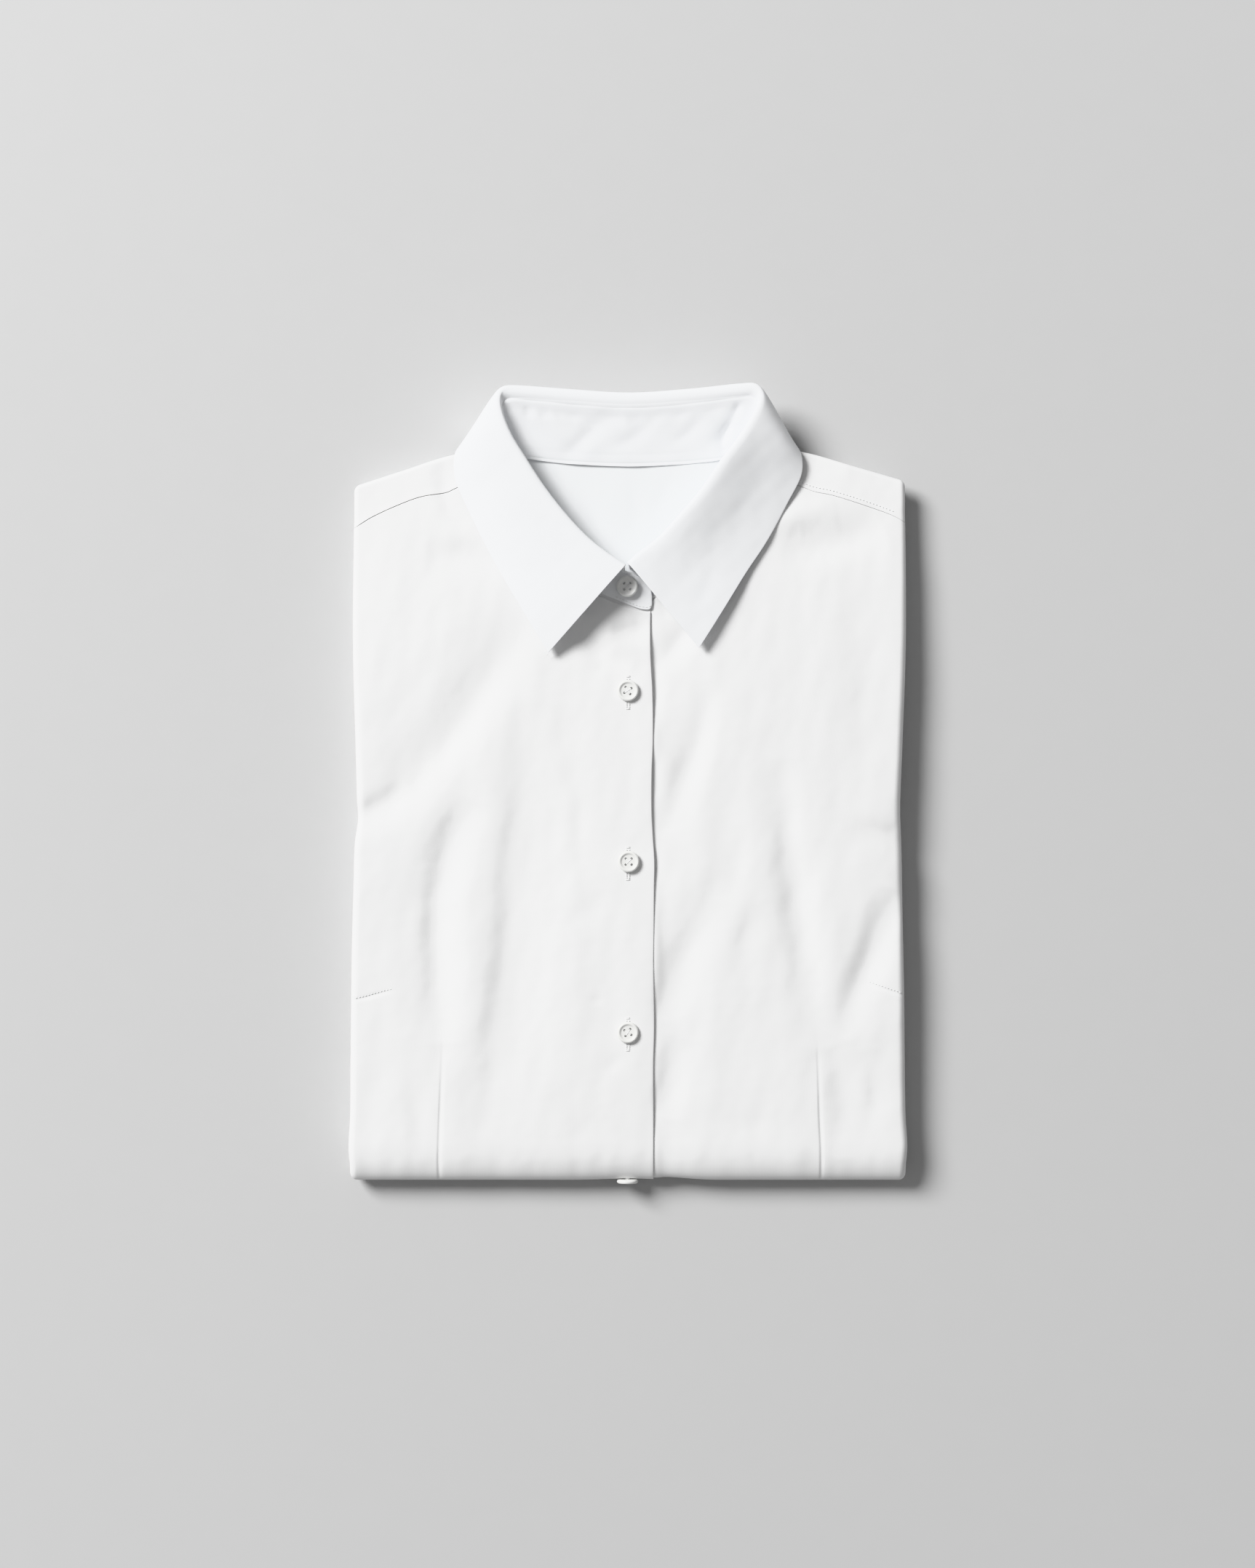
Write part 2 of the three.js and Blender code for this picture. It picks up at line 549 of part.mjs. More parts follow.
function yokeInside() {
  const columns = 8;
  const rows = 7;
  return wall(columns, rows, CLOTH, 1, (i, j) => {
    const across = (i / columns) * 2 - 1;
    const y = mix(YOKE_INSIDE[0].y, YOKE_INSIDE.at(-1).y, j / rows);
    const half = read(YOKE_INSIDE, "y", "half", y);
    const z = read(YOKE_INSIDE, "y", "z", y) + YOKE_INSIDE_RIPPLE * Math.sin(across * 4 + y / 14);
    return [across * half, y, z];
  });
}

// ---------------------------------------------------------------- collar

const SWELL_UP_BEHIND = 0.25; // share of the swell that goes up where the leaf drops behind

/** The points of one collar section: seam, before and after the crest, the swell and the edge. */
function collarSection(row) {
  const [x, y, z] = row.roll;
  const facing = THREE.MathUtils.degToRad(row.facing);
  const out = [Math.cos(facing), Math.sin(facing)];
  const toNeck = [row.neck[0] - x, row.neck[1] - y];
  const reach = Math.hypot(...toNeck);
  const seam = [x + (toNeck[0] / reach) * row.turn, y + (toNeck[1] / reach) * row.turn, z - row.drop];
  const inside = ROLL_RADIUS * row.behind;
  const outside = ROLL_RADIUS * (1 - row.behind);
  const before = [x - out[0] * inside, y - out[1] * inside, z - outside];
  const after = [x + out[0] * outside, y + out[1] * outside, z - inside];
  const swell = [
    mix(after[0], row.edge[0], 0.5) + out[0] * row.full * row.behind,
    mix(after[1], row.edge[1], 0.5) + out[1] * row.full * row.behind,
    mix(after[2], row.edge[2], 0.5) + row.full * mix(1, SWELL_UP_BEHIND, row.behind),
  ];
  return { seam, before, after, swell, edge: row.edge, neck: row.neck, sag: row.sag };
}

const SECTIONS = COLLAR.map(collarSection);

/** A point smoothly along the sections' point `key`, at a fractional row. */
function alongCollar(key, place) {
  const last = SECTIONS.length - 1;
  const row = clamp(Math.floor(place), 0, last - 1);
  const four = [-1, 0, 1, 2].map((k) => SECTIONS[clamp(row + k, 0, last)][key]);
  return [0, 1, 2].map((axis) => catmull(...four.map((p) => p[axis]), place - row));
}

const SECTION_POINTS = ["seam", "before", "after", "swell", "edge"];
// Where each column of the leaf lies along its section: crowded over the crest.
const LEAF_COLUMNS = [0, 0.55, 1, 1.5, 2, 2.33, 2.66, 3, 3.5, 4];
const LEAF_STEPS = 54;

/** Rows per section are even, so the short sections at the corners get their share. */
function leafPoint(place, column) {
  const points = SECTION_POINTS.map((key) => alongCollar(key, place));
  const span = clamp(Math.floor(column), 0, points.length - 2);
  const four = [-1, 0, 1, 2].map((k) => points[clamp(span + k, 0, points.length - 1)]);
  return [0, 1, 2].map((axis) => catmull(...four.map((p) => p[axis]), column - span));
}

function collarLeaf() {
  const last = SECTIONS.length - 1;
  return wall(LEAF_STEPS, LEAF_COLUMNS.length - 1, LEAF, 1, (i, j) => (
    leafPoint((i / LEAF_STEPS) * last, LEAF_COLUMNS[j])
  ));
}

const STAND_COLUMNS = [0, 0.25, 0.5, 0.75, 1];
const STAND_STEPS = 42;
const STAND_SHORT = 1.7; // how far the stand stops short of the leaf's seam

/** Lower and upper edge of the stand, end to end: the over end, round the neck, the under end. */
function standRows() {
  const end = (row) => ({
    bottom: [row.x, row.bottom, row.z],
    top: [row.x, row.top, row.z + STAND_RISE * (row.top - row.bottom)],
    sag: 0,
  });
  const round = [];
  for (let k = 0; k <= STAND_STEPS; k += 1) {
    const place = (k / STAND_STEPS) * (SECTIONS.length - 1);
    const bottom = alongCollar("neck", place);
    const seam = alongCollar("seam", place);
    const length = Math.hypot(...seam.map((value, axis) => value - bottom[axis]));
    const top = seam.map((value, axis) => mix(bottom[axis], value, 1 - STAND_SHORT / length));
    const row = clamp(Math.round(place), 0, SECTIONS.length - 1);
    round.push({ bottom, top, sag: SECTIONS[row].sag });
  }
  return [...STAND_OVER_END.map(end), ...round, ...STAND_UNDER_END.map(end)];
}

function collarStand() {
  const rows = standRows();
  return wall(rows.length - 1, STAND_COLUMNS.length - 1, STAND, 1, (i, j) => {
    const { bottom, top, sag } = rows[i];
    const t = STAND_COLUMNS[j];
    const point = bottom.map((value, axis) => mix(value, top[axis], t));
    point[2] -= sag * Math.sin(Math.PI * t);
    return point;
  }, true);
}

// ---------------------------------------------------------------- buttons

/** A four-hole shirt button, its back on z = 0 and its rim up. */
function buttonGeometry() {
  const r = BUTTON_RADIUS;
  const t = BUTTON_THICKNESS;
  const profile = [
    [0, 0], [r - 1.2, 0], [r - 0.3, 0.45], [r, 0.55 * t], [r - 0.45, 0.92 * t],
    [r - 1.0, t], [r - 1.6, 0.9 * t], [r - 2.3, 0.66 * t], [0, 0.62 * t],
  ].map(([x, y]) => new THREE.Vector2(x, y));
  const disc = new THREE.LatheGeometry(profile, 20);
  disc.rotateX(Math.PI / 2);
  let solid = toManifold(disc);
  for (const [sx, sy] of [[-1, -1], [-1, 1], [1, -1], [1, 1]]) {
    const drill = new THREE.CylinderGeometry(BUTTON_HOLE_RADIUS, BUTTON_HOLE_RADIUS, 3 * t, 6);
    drill.rotateX(Math.PI / 2);
    drill.translate((sx * BUTTON_HOLE_SPACING) / 2, (sy * BUTTON_HOLE_SPACING) / 2, 0);
    solid = solid.subtract(toManifold(drill));
  }
  return fromManifold(solid);
}

// ---------------------------------------------------------------- the hidden layers

/**
 * The outline of the hidden layers, anticlockwise from the lower right. Each station has its place
 * and the way in from it.
 */
function coreOutline() {
  const stations = [];
  const sideSteps = 13;
  const backSteps = 18;
  const endSteps = 8;
  const sideDrop = 5;
  const cornerY = (x) => shoulderY(x) - CORE_BACK_INSET;
  for (let k = 0; k <= sideSteps; k += 1) {
    const y = mix(CORE_END_Y, cornerY(HALF_WIDTH) - sideDrop, k / sideSteps);
    stations.push({ x: rightOutline(y), y, inX: -1, inY: 0 });
  }
  for (let k = 0; k <= backSteps; k += 1) {
    const x = mix(CORE_CORNER_X, -CORE_CORNER_X, k / backSteps);
    stations.push({ x, y: cornerY(x), inX: 0, inY: -1 });
  }
  for (let k = 0; k <= sideSteps; k += 1) {
    const y = mix(cornerY(-HALF_WIDTH) - sideDrop, CORE_END_Y, k / sideSteps);
    stations.push({ x: leftOutline(y), y, inX: 1, inY: 0 });
  }
  for (let k = 1; k < endSteps; k += 1) {
    stations.push({ x: mix(-CORE_END_X, CORE_END_X, k / endSteps), y: CORE_END_Y, inX: 0, inY: 0 });
  }
  return stations;
}

/** Height of the hidden layers' top: clear under the fronts' folds and lower under the neck. */
function coreTop(x, y) {
  const under = crown(x, y) - CORE_CLEARANCE;
  const neck = smooth(40, 76, y) * (1 - smooth(78, 104, Math.abs(x)));
  const low = mix(CORE_NECK_TOP, CORE_NAPE_TOP, smooth(110, 160, y));
  return mix(under, Math.min(under, low), neck);
}

function coreBody() {
  const outline = coreOutline();
  const middle = new THREE.Vector3(0, -10, 0);
  const points = [];
  const rings = [];
  const ring = (place) => {
    rings.push(points.length);
    for (const station of outline) points.push(place(station));
  };
  const thickness = (s) => sideThickness(s.y);
  const inward = (s, inset, z) => new THREE.Vector3(s.x + s.inX * inset, s.y + s.inY * inset, z);
  ring((s) => inward(s, CORE_UNDER_INSET, 0));
  for (const layer of EDGE_LAYERS) {
    const ripple = layer.loose ? CORE_RIPPLE : 0;
    ring((s) => {
      const wander = ripple * Math.sin(s.y / CORE_RIPPLE_LENGTH + layer.level * 40);
      return inward(s, layer.inset + wander, layer.level * thickness(s));
    });
  }
  const inner = EDGE_LAYERS.at(-1).inset + CORE_TOP_INSET;
  const rim = (s) => [s.x + s.inX * inner, s.y + s.inY * inner];
  for (const share of CORE_TOP_SHARES) {
    ring((s) => {
      const [rx, ry] = rim(s);
      const x = mix(middle.x, rx, share);
      const y = mix(middle.y, ry, share);
      return new THREE.Vector3(x, y, coreTop(x, y));
    });
  }
  const count = outline.length;
  const indices = [];
  for (let k = 0; k < rings.length - 1; k += 1) {
    for (let s = 0; s < count; s += 1) {
      const next = (s + 1) % count;
      const [a, b] = [rings[k] + s, rings[k] + next];
      const [c, d] = [rings[k + 1] + next, rings[k + 1] + s];
      indices.push(a, b, c, a, c, d);
    }
  }
  const below = points.push(new THREE.Vector3(middle.x, middle.y, 0)) - 1;
  const above = points.push(new THREE.Vector3(middle.x, middle.y, coreTop(middle.x, middle.y))) - 1;
  for (let s = 0; s < count; s += 1) {
    const next = (s + 1) % count;
    indices.push(below, rings[0] + next, rings[0] + s);
    indices.push(above, rings.at(-1) + s, rings.at(-1) + next);
  }
  return closedGeometry(points, indices);
}

/** The layers inside the bottom fold: a bar with a round end. */
function coreEnd() {
  const half = crown(0, BOTTOM_Y) / 2;
  const radius = half - CORE_END_CLEARANCE;
  const centreY = BOTTOM_Y + half + 0.5;
  const shape = new THREE.Shape();
  shape.moveTo(CORE_END_Y + CORE_END_OVERLAP, half - radius);
  shape.lineTo(centreY, half - radius);
  shape.absarc(centreY, half, radius, -Math.PI / 2, -1.5 * Math.PI, true);
  shape.lineTo(CORE_END_Y + CORE_END_OVERLAP, half + radius);
  const width = 2 * CORE_CORNER_X;
  const bar = new THREE.ExtrudeGeometry(shape, { depth: width, bevelEnabled: false, curveSegments: 8 });
  // The shape is drawn in (y, z), and its depth becomes x.
  bar.applyMatrix4(new THREE.Matrix4().makeBasis(
    new THREE.Vector3(0, 1, 0),
    new THREE.Vector3(0, 0, 1),
    new THREE.Vector3(1, 0, 0),
  ));
  bar.translate(-width / 2, 0, 0);
  return bar;
}

function coreLayers() {
  return fromManifold(toManifold(coreBody()).add(toManifold(coreEnd())));
}

// ---------------------------------------------------------------- assembly

const poplin = (color) => new THREE.MeshStandardMaterial({ color, roughness: 0.85, metalness: 0 });
const resin = new THREE.MeshStandardMaterial({ color: 0xf1f1ef, roughness: 0.25, metalness: 0 });

const shirt = new THREE.Group();

function add(name, geometry, material) {
  const mesh = new THREE.Mesh(geometry, material);
  mesh.name = name;
  shirt.add(mesh);
  return mesh;
}

add("core_layers", coreLayers(), poplin(0xe6e8ea));
add("front_right", frontRight(), poplin(0xf3f4f6));
add("front_left", frontLeft(), poplin(0xf2f3f5));
add("yoke_right", yokeShoulder(-1, leftOutline, RIGHT_FRONT_TOP), poplin(0xf0f1f3));
add("yoke_left", yokeShoulder(1, rightOutline, LEFT_FRONT_TOP), poplin(0xf0f1f3));
add("yoke_inner", yokeInside(), poplin(0xe9ebee));
add("collar_stand", collarStand(), poplin(0xeef0f2));
add("collar_leaf", collarLeaf(), poplin(0xf5f6f8));

const standButton = add("button_stand", buttonGeometry(), resin);
standButton.position.set(-0.4, 104.2, 23.3);
standButton.rotation.set(0.12, 0.03, 0);

[0, 0.4, 0].forEach((x, k) => {
  const y = TOP_BUTTON_Y - k * BUTTON_SPACING;
  const button = add(`button_${k + 1}`, buttonGeometry(), resin);
  button.position.set(x, y, topHeight(x, y) + BUTTON_SEAT);
  button.rotation.set(0, 0, 0.2 * (k - 1));
});

const foldButton = add("button_4", buttonGeometry(), resin);
foldButton.position.set(-0.2, bottomOutline(0) - BUTTON_SEAT, crown(0, BOTTOM_Y) / 2);
foldButton.rotation.set(Math.PI / 2, 0, 0);

export default shirt;
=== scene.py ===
"""A women's button-front shirt in white cotton poplin, folded for the shelf and lying on its back.

Shapes are worked out in millimetres, +X to the right, +Y from the bottom fold to the collar and +Z
up, on arrays of stations, and go into the meshes in metres. Each piece of cloth is a fine grid on
the form that its CAD solid holds, with its creases laid in.
"""
import math

import bmesh
import bpy
import numpy as np
from bpy.props import FloatProperty, IntProperty, PointerProperty, StringProperty
from mathutils import Matrix, Vector


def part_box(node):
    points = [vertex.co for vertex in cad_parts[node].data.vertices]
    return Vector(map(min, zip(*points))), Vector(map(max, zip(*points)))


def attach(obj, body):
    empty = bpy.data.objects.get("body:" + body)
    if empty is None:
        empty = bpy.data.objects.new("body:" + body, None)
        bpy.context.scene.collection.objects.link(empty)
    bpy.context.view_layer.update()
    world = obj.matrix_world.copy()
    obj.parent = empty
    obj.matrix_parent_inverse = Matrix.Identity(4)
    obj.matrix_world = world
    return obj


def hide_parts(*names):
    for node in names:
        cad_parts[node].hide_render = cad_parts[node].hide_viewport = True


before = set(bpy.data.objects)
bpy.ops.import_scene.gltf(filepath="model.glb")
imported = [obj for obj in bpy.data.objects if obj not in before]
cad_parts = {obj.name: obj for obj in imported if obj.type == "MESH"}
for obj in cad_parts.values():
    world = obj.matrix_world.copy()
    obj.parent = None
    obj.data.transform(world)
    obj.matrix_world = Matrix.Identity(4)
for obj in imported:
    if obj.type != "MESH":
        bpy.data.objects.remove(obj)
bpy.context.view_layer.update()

bl_info = {
    "name": "Folded poplin shirt",
    "version": (1, 0, 0),
    "blender": (4, 5, 0),
    "location": "View3D > Sidebar > Shirt",
    "description": "Lays the cloth, buttons and sewing of a folded shirt over its CAD frame",
    "category": "Object",
}

MM = 0.001

# ------------------------------------------------------------------ the form, shared with the CAD

PLACKET_EDGE = 13.3
UNDERLAP_EDGE = -14.0
BOTTOM_Y = -211.0
BOTTOM_DENT = 0.7
DENT_WIDTH = 16
SLACK = 12.0  # how much further than a half circle the cloth reaches over the bottom fold
LIP = 0.2  # radius of the side folds as a share of their thickness
LIP_ANGLE = math.radians(150)
LAP = 1.5  # how deep the left front lies under the placket
TOP_BUTTON_Y = 49.0
BUTTON_SPACING = 90.4
YOKE_INNER_END = 79.0
FRONT_BUTTONS = 3  # on the placket, and one more on the bottom fold
ROLL_RADIUS = 2.2  # of the collar's fold

# y, then X of the left and the right side fold
SIDE_OUTLINE = (
    (-206, -147.2, 147.2), (-193, -148.2, 148.2), (-176, -147.3, 147.3), (-150, -147.1, 146.9),
    (-112, -146.7, 146.5), (-86, -146.3, 146.0), (-52, -145.4, 145.4), (-32, -144.8, 145.1),
    (-19, -143.2, 144.5), (-8, -143.7, 144.5), (20, -144.4, 145.6), (77, -145.9, 147.5),
    (150, -145.3, 147.2), (178, -144.8, 146.3),
)
# x, then Y of the shoulder fold
SHOULDER_OUTLINE = (
    (-146, 157.5), (-120, 166.0), (-91, 175.0), (-62, 177.0),
    (62, 177.5), (91.5, 176.4), (120, 168.5), (147.5, 160.5),
)
# y, then how thick the folded shirt is at its centre and at its side folds
THICKNESS = (
    (-202, 19.6, 18.6), (-150, 21.0, 19.2), (-80, 22.4, 19.6), (0, 22.6, 19.4),
    (60, 21.5, 18.6), (110, 19.2, 16.8), (150, 16.2, 14.5), (178, 13.0, 12.5),
)
# x, then Y of the seam at the top of each front: the yoke's, then the neckline's
RIGHT_FRONT_TOP = (
    (-149, 133.5), (-144.6, 135.9), (-135.9, 141.3), (-122.1, 147.7), (-110.2, 152.1),
    (-96.1, 154.6), (-90.1, 157.2), (-72.0, 160.5), (-65.5, 139.0), (-55.0, 122.5),
    (-42.0, 111.3), (-27.0, 103.6), (-14.5, 99.2), (-2.7, 94.4), (7.2, 91.2), (14.0, 90.6),
)
LEFT_FRONT_TOP = (
    (-15, 93.0), (-6.0, 92.2), (6.5, 94.6), (14.5, 98.0), (27.0, 103.2), (42.0, 111.0),
    (55.0, 122.2), (65.5, 139.0), (72.0, 161.5), (90.3, 158.2), (98.7, 155.0), (109.2, 152.8),
    (129.5, 146.3), (141.3, 141.8), (150, 136.8),
)
# y, then how far the placket's edge strays from straight, and how far the cloth beside it sinks
PLACKET_WAVE = (
    (-211, 0.3, 0.8), (-190, 0.3, 1.0), (-176, 0.3, 1.5), (-150, 0.2, 1.2), (-128, 0.7, 1.5),
    (-98, 0.3, 0.6), (-74, 0.5, 0.7), (-56, 0.6, 1.5), (-42, 0.8, 2.3), (-30, 0.1, 1.7), (-14, -0.7, 2.0),
    (7, -0.6, 2.2), (22, 0.0, 0.9), (47, -0.2, 2.5), (68, -1.3, 2.5), (85, -1.4, 1.4), (96, -1.0, 0.9),
)

# The creases of the fronts. Each is a soft trough: its depth, how wide its flank is on the side
# of the window and on the far side, and the line that it follows.
CREASES = (
    # right front, from the collar down
    (4.35, 16, 10, (-50, 90), (-66, 66), (-82, 42), (-98, 20), (-114, 1), (-136, -20)),
    (1.9, 6, 8, (-116, -2), (-132, -12), (-146, -19), (-158, -24)),
    (0.6, 8, 12, (-88, 84), (-104, 58), (-122, 36), (-138, 22)),
    (5.2, 9, 9, (-82, -6), (-90, -24), (-97, -44), (-101, -62), (-101.5, -82),
     (-100, -110), (-98.5, -140)),
    (1.74, 10, 9, (-94, -14), (-110, -44), (-117, -70), (-114, -100), (-112, -136)),
    (3.77, 11, 24, (-52, 48), (-54, 14), (-56, -20), (-59, -52), (-62, -86),
     (-66, -120), (-70, -150), (-80, -192)),
    (1.3, 7, 14, (-36, 52), (-32, 22), (-25, -8), (-23, -34), (-20, -60), (-19, -84)),
    (1.89, 8, 10, (-108, 122), (-88, 121), (-66, 114)),
    (1.3, 5, 5, (-97, 174), (-98.5, 163), (-97.5, 152), (-92, 141), (-84, 134)),
    (0.7, 6, 6, (-127, -134), (-133, -160), (-143, -192)),
    (0.6, 5, 7, (-116, -150), (-113, -172), (-108, -196)),
    (2.17, 6, 7, (-32, 88), (-22, 76), (-12, 66), (2, 60)),
    (1.45, 5, 6, (9, 86), (3, 80), (-9, 82)),
    (0.5, 4, 4, (-4, -143), (-11, -154)),
    (0.4, 3, 3, (-16, -112), (-17, -118)),
    (0.7, 6, 10, (-38, -160), (-24, -178), (-4, -190), (9, -192)),
    (0.5, 5, 7, (-10, -56), (-20, -68), (-32, -74)),
    (0.5, 6, 8, (-44, 96), (-40, 70), (-44, 52)),
    # left front, from the collar down
    (1.9, 6, 6, (36, 88), (27, 75), (17, 60)),
    (2.2, 7, 7, (44, 56), (39, 30), (33, 9), (26, -10), (17, -30)),
    (1.3, 9, 13, (54, 14), (51, -14), (54, -40), (50, -64)),
    (2.2, 8, 10, (50, -44), (42, -64), (34, -84), (26, -104), (15, -126)),
    (1.16, 6, 8, (70, -60), (62, -84), (60, -108)),
    (3.5, 10, 9, (80, 16), (82, -12), (86, -34), (89, -56), (92, -78),
     (95, -100), (97.5, -120), (99.5, -143)),
    (0.6, 5, 6, (102, -28), (99, -45), (95, -62)),
    (3.1, 8, 9, (141, -54), (132, -82), (126, -98), (120, -113), (112, -136)),
    (1.9, 6, 8, (160, -42), (148, -34), (138, -28), (118, -22)),
    (2.3, 10, 10, (82, 129), (92, 125), (112, 128), (136, 137)),
    (-1.7, 7, 7, (64, 132), (80, 139), (92, 143), (112, 148)),
    (1.59, 8, 10, (29, -134), (24, -152), (19, -178)),
    (0.6, 6, 7, (58, -116), (57, -140), (52, -162)),
    (1.89, 7, 12, (108, -138), (114, -152), (116, -172), (112, -198)),
    (1.16, 5, 7, (127, -140), (131, -168), (126, -196)),
    (0.6, 7, 7, (36, -174), (60, -182), (86, -178)),
    (0.7, 10, 14, (118, 92), (126, 58), (128, 22), (122, -6)),
)
# Sharp sewn lines, as narrow troughs: two waist darts, then two bust darts.
DARTS = (
    (0.55, 0.6, 1.4, (-98.3, -136), (-98.4, -146), (-99.0, -160), (-99.8, -180),
     (-100.4, -198), (-100.4, -204), (-99.6, -230)),
    (0.55, 0.6, 1.4, (100.4, -139), (101.0, -159), (101.6, -178), (102.3, -192),
     (102.5, -206), (102.5, -230)),
    (0.5, 0.7, 1.2, (-148, -115.4), (-145, -114.6), (-139.3, -113.5), (-133.2, -111.6),
     (-129.7, -110.8), (-124.6, -109.6)),
    (0.5, 0.7, 1.2, (127.0, -105.6), (136.6, -109.1), (145.9, -112.3), (148, -113)),
)
# The creases of the stand's inside and of the leaf, in plan in the same way.
STAND_CREASES = (
    (1.36, 3, 4, (-9, 198), (-16, 190), (-24, 182), (-33, 174)),
    (0.85, 3, 3, (40, 196), (34, 187), (24, 179)),
    (0.77, 3, 4, (14, 194), (4, 184), (-8, 177)), (0.85, 3, 3, (58, 191), (50, 186), (41, 176)),
    (2.4, 2.6, 2.4, (56, 194), (52, 187), (50, 180), (52, 174)),
    (1.6, 2.2, 2.4, (60, 202), (57, 197), (55, 192)),
    (0.85, 1.6, 1.8, (-53.5, 200), (-52, 193)), (1.02, 1.4, 1.6, (-44, 199), (-43, 192)),
    (0.68, 1.4, 1.4, (-35.5, 198), (-35, 192)), (0.85, 1.4, 1.6, (-28.4, 197), (-28, 191)),
    (0.85, 1.8, 1.8, (-20, 196), (-21, 188)), (0.68, 1.5, 1.5, (-7, 196), (-7.5, 189)),
    (0.68, 1.6, 1.6, (3.6, 196), (4, 189)), (0.68, 1.5, 1.5, (16, 197), (15, 190)),
    (0.68, 1.5, 1.5, (28, 198), (27, 192)), (0.59, 1.5, 1.5, (46, 199), (45, 194)),
    (-1.7, 8, 8, (-74, 214), (-69, 202), (-64, 190), (-57, 176), (-48, 160)),
)
YOKE_CREASES = (
    (0.5, 4, 5, (-28, 164), (-20, 148), (-14, 134)), (0.4, 4, 5, (2, 162), (4, 146), (2, 130)),
    (0.4, 4, 4, (24, 166), (20, 154), (12, 142)),
)
LEAF_CREASES = (
    (0.6, 6, 6, (-14, 116), (-24, 117), (-34, 126), (-46, 142)),
    (0.12, 8, 14, (82, 192), (77.8, 188.7), (69.6, 175.8), (60.2, 163.2), (48.9, 146.8),
     (37.2, 132.8), (25, 119), (10, 104)),
    (0.15, 5, 6, (74, 168), (64, 150), (54, 136)), (-0.35, 6, 6, (-80, 160), (-60, 122), (-46, 96)),
    (0.35, 4, 5, (46, 116), (42, 104), (34, 90)),
)

# The collar from the right point round the neck to the left point, a row for each section: the
# crest of its roll, the bearing that it faces in degrees, how far it lies behind the neck (0 to 1),
# the outer edge of the leaf and its bulge, how far the seam lies in from the crest and below it,
# the lower edge of the stand and its sag.
COLLAR = (
    (-2.1, 113.2, 35.2, 222, 0, -41.8, 69.1, 24.8, 1.8, 1.6, 11.8, -2.7, 95.8, 20.5, 0),
    (-12.0, 119.9, 34.4, 222, 0, -48.8, 80.8, 25.4, 1.6, 2.0, 11.2, -14.5, 100.6, 20.2, 0),
    (-22.3, 128.5, 33.6, 221, 0, -55.7, 92.4, 24.6, 1.6, 2.2, 10.2, -27.0, 105.0, 20.0, 0),
    (-33.5, 140.6, 33.2, 220, 0, -64.7, 107.6, 22.8, 2.0, 2.4, 9.4, -42.0, 112.5, 19.6, 0.6),
    (-44.7, 155.1, 33.0, 216, 0, -74.0, 124.5, 20.8, 2.6, 2.6, 8.8, -55.0, 124.0, 19.0, 1.2),
    (-54.8, 170.7, 32.9, 212, 0, -83.6, 144.2, 18.8, 3.2, 2.8, 8.0, -64.0, 138.0, 18.5, 1.6),
    (-62.1, 182.5, 32.6, 204, 0.05, -90.5, 160.4, 17.2, 3.6, 3.4, 7.0, -68.0, 152.0, 18.2, 2.6),
    (-67.0, 194.0, 31.6, 178, 0.2, -91.0, 173.2, 15.9, 3.8, 4.2, 5.4, -67.0, 163.0, 18.0, 3.2),
    (-68.6, 202.2, 29.8, 155, 0.5, -86.5, 179.8, 8.6, 2.0, 4.8, 3.8, -61.0, 170.0, 17.9, 2.4),
    (-66.0, 207.5, 27.6, 115, 0.85, -75.0, 183.0, 2.3, 4.5, 5.4, 2.4, -54.5, 171.9, 17.9, 0.8),
    (-57.0, 208.7, 26.6, 92, 1, -60.5, 184.2, 2.0, 6.6, 6.0, 1.5, -43.5, 170.6, 17.9, 0),
    (-31.0, 206.9, 26.0, 90, 1, -32.0, 184.2, 2.0, 6.6, 6.2, 1.2, -25.0, 168.9, 17.9, 0),
    (0.5, 205.1, 25.8, 90, 1, 0.5, 184.0, 2.0, 6.6, 6.2, 1.1, 0.5, 168.0, 17.9, 0),
    (31.0, 206.9, 26.0, 90, 1, 33.0, 184.2, 2.0, 6.6, 6.2, 1.2, 25.0, 168.9, 17.9, 0),
    (58.5, 209.6, 26.8, 88, 1, 61.5, 184.4, 2.0, 6.6, 6.0, 1.6, 43.0, 170.5, 17.9, 0),
    (67.8, 208.9, 27.3, 65, 0.85, 76.5, 183.4, 2.3, 3.8, 5.0, 2.2, 53.5, 171.8, 17.9, 0.3),
    (70.8, 202.9, 28.6, 25, 0.5, 86.6, 180.3, 8.6, 2.0, 4.2, 3.3, 61.0, 170.0, 17.9, 0.6),
    (67.4, 194.4, 29.6, 2, 0.2, 91.2, 173.6, 15.9, 1.4, 3.2, 4.7, 67.0, 163.0, 18.0, 1),
    (59.8, 182.6, 30.2, -24, 0.05, 91.4, 163.0, 17.0, 0.2, 2.2, 5.7, 68.0, 152.0, 18.2, 1),
    (50.4, 170.2, 30.9, -32, 0, 83.9, 147.8, 17.4, -0.6, 2.1, 7.1, 64.0, 138.0, 18.5, 1),
    (39.3, 154.0, 31.7, -36, 0, 73.4, 128.3, 19.0, -0.8, 2.1, 8.2, 55.0, 124.0, 19.0, 0.8),
    (28.2, 140.7, 32.2, -40, 0, 62.4, 111.6, 21.4, -1.0, 2.1, 9.1, 42.0, 112.5, 19.6, 0.6),
    (17.1, 128.5, 32.2, -41, 0, 52.4, 95.2, 24.4, -1.1, 2.1, 9.7, 27.0, 105.0, 19.8, 0.8),
    (6.9, 120.3, 32.2, -42, 0, 44.4, 82.3, 25.6, -1.0, 2.1, 10.5, 14.5, 99.8, 18.7, 1.2),
    (0.7, 114.8, 31.6, -42, 0, 37.6, 71.5, 25.6, -0.6, 1.8, 10.6, 6.5, 96.4, 17.6, 0.8),
)
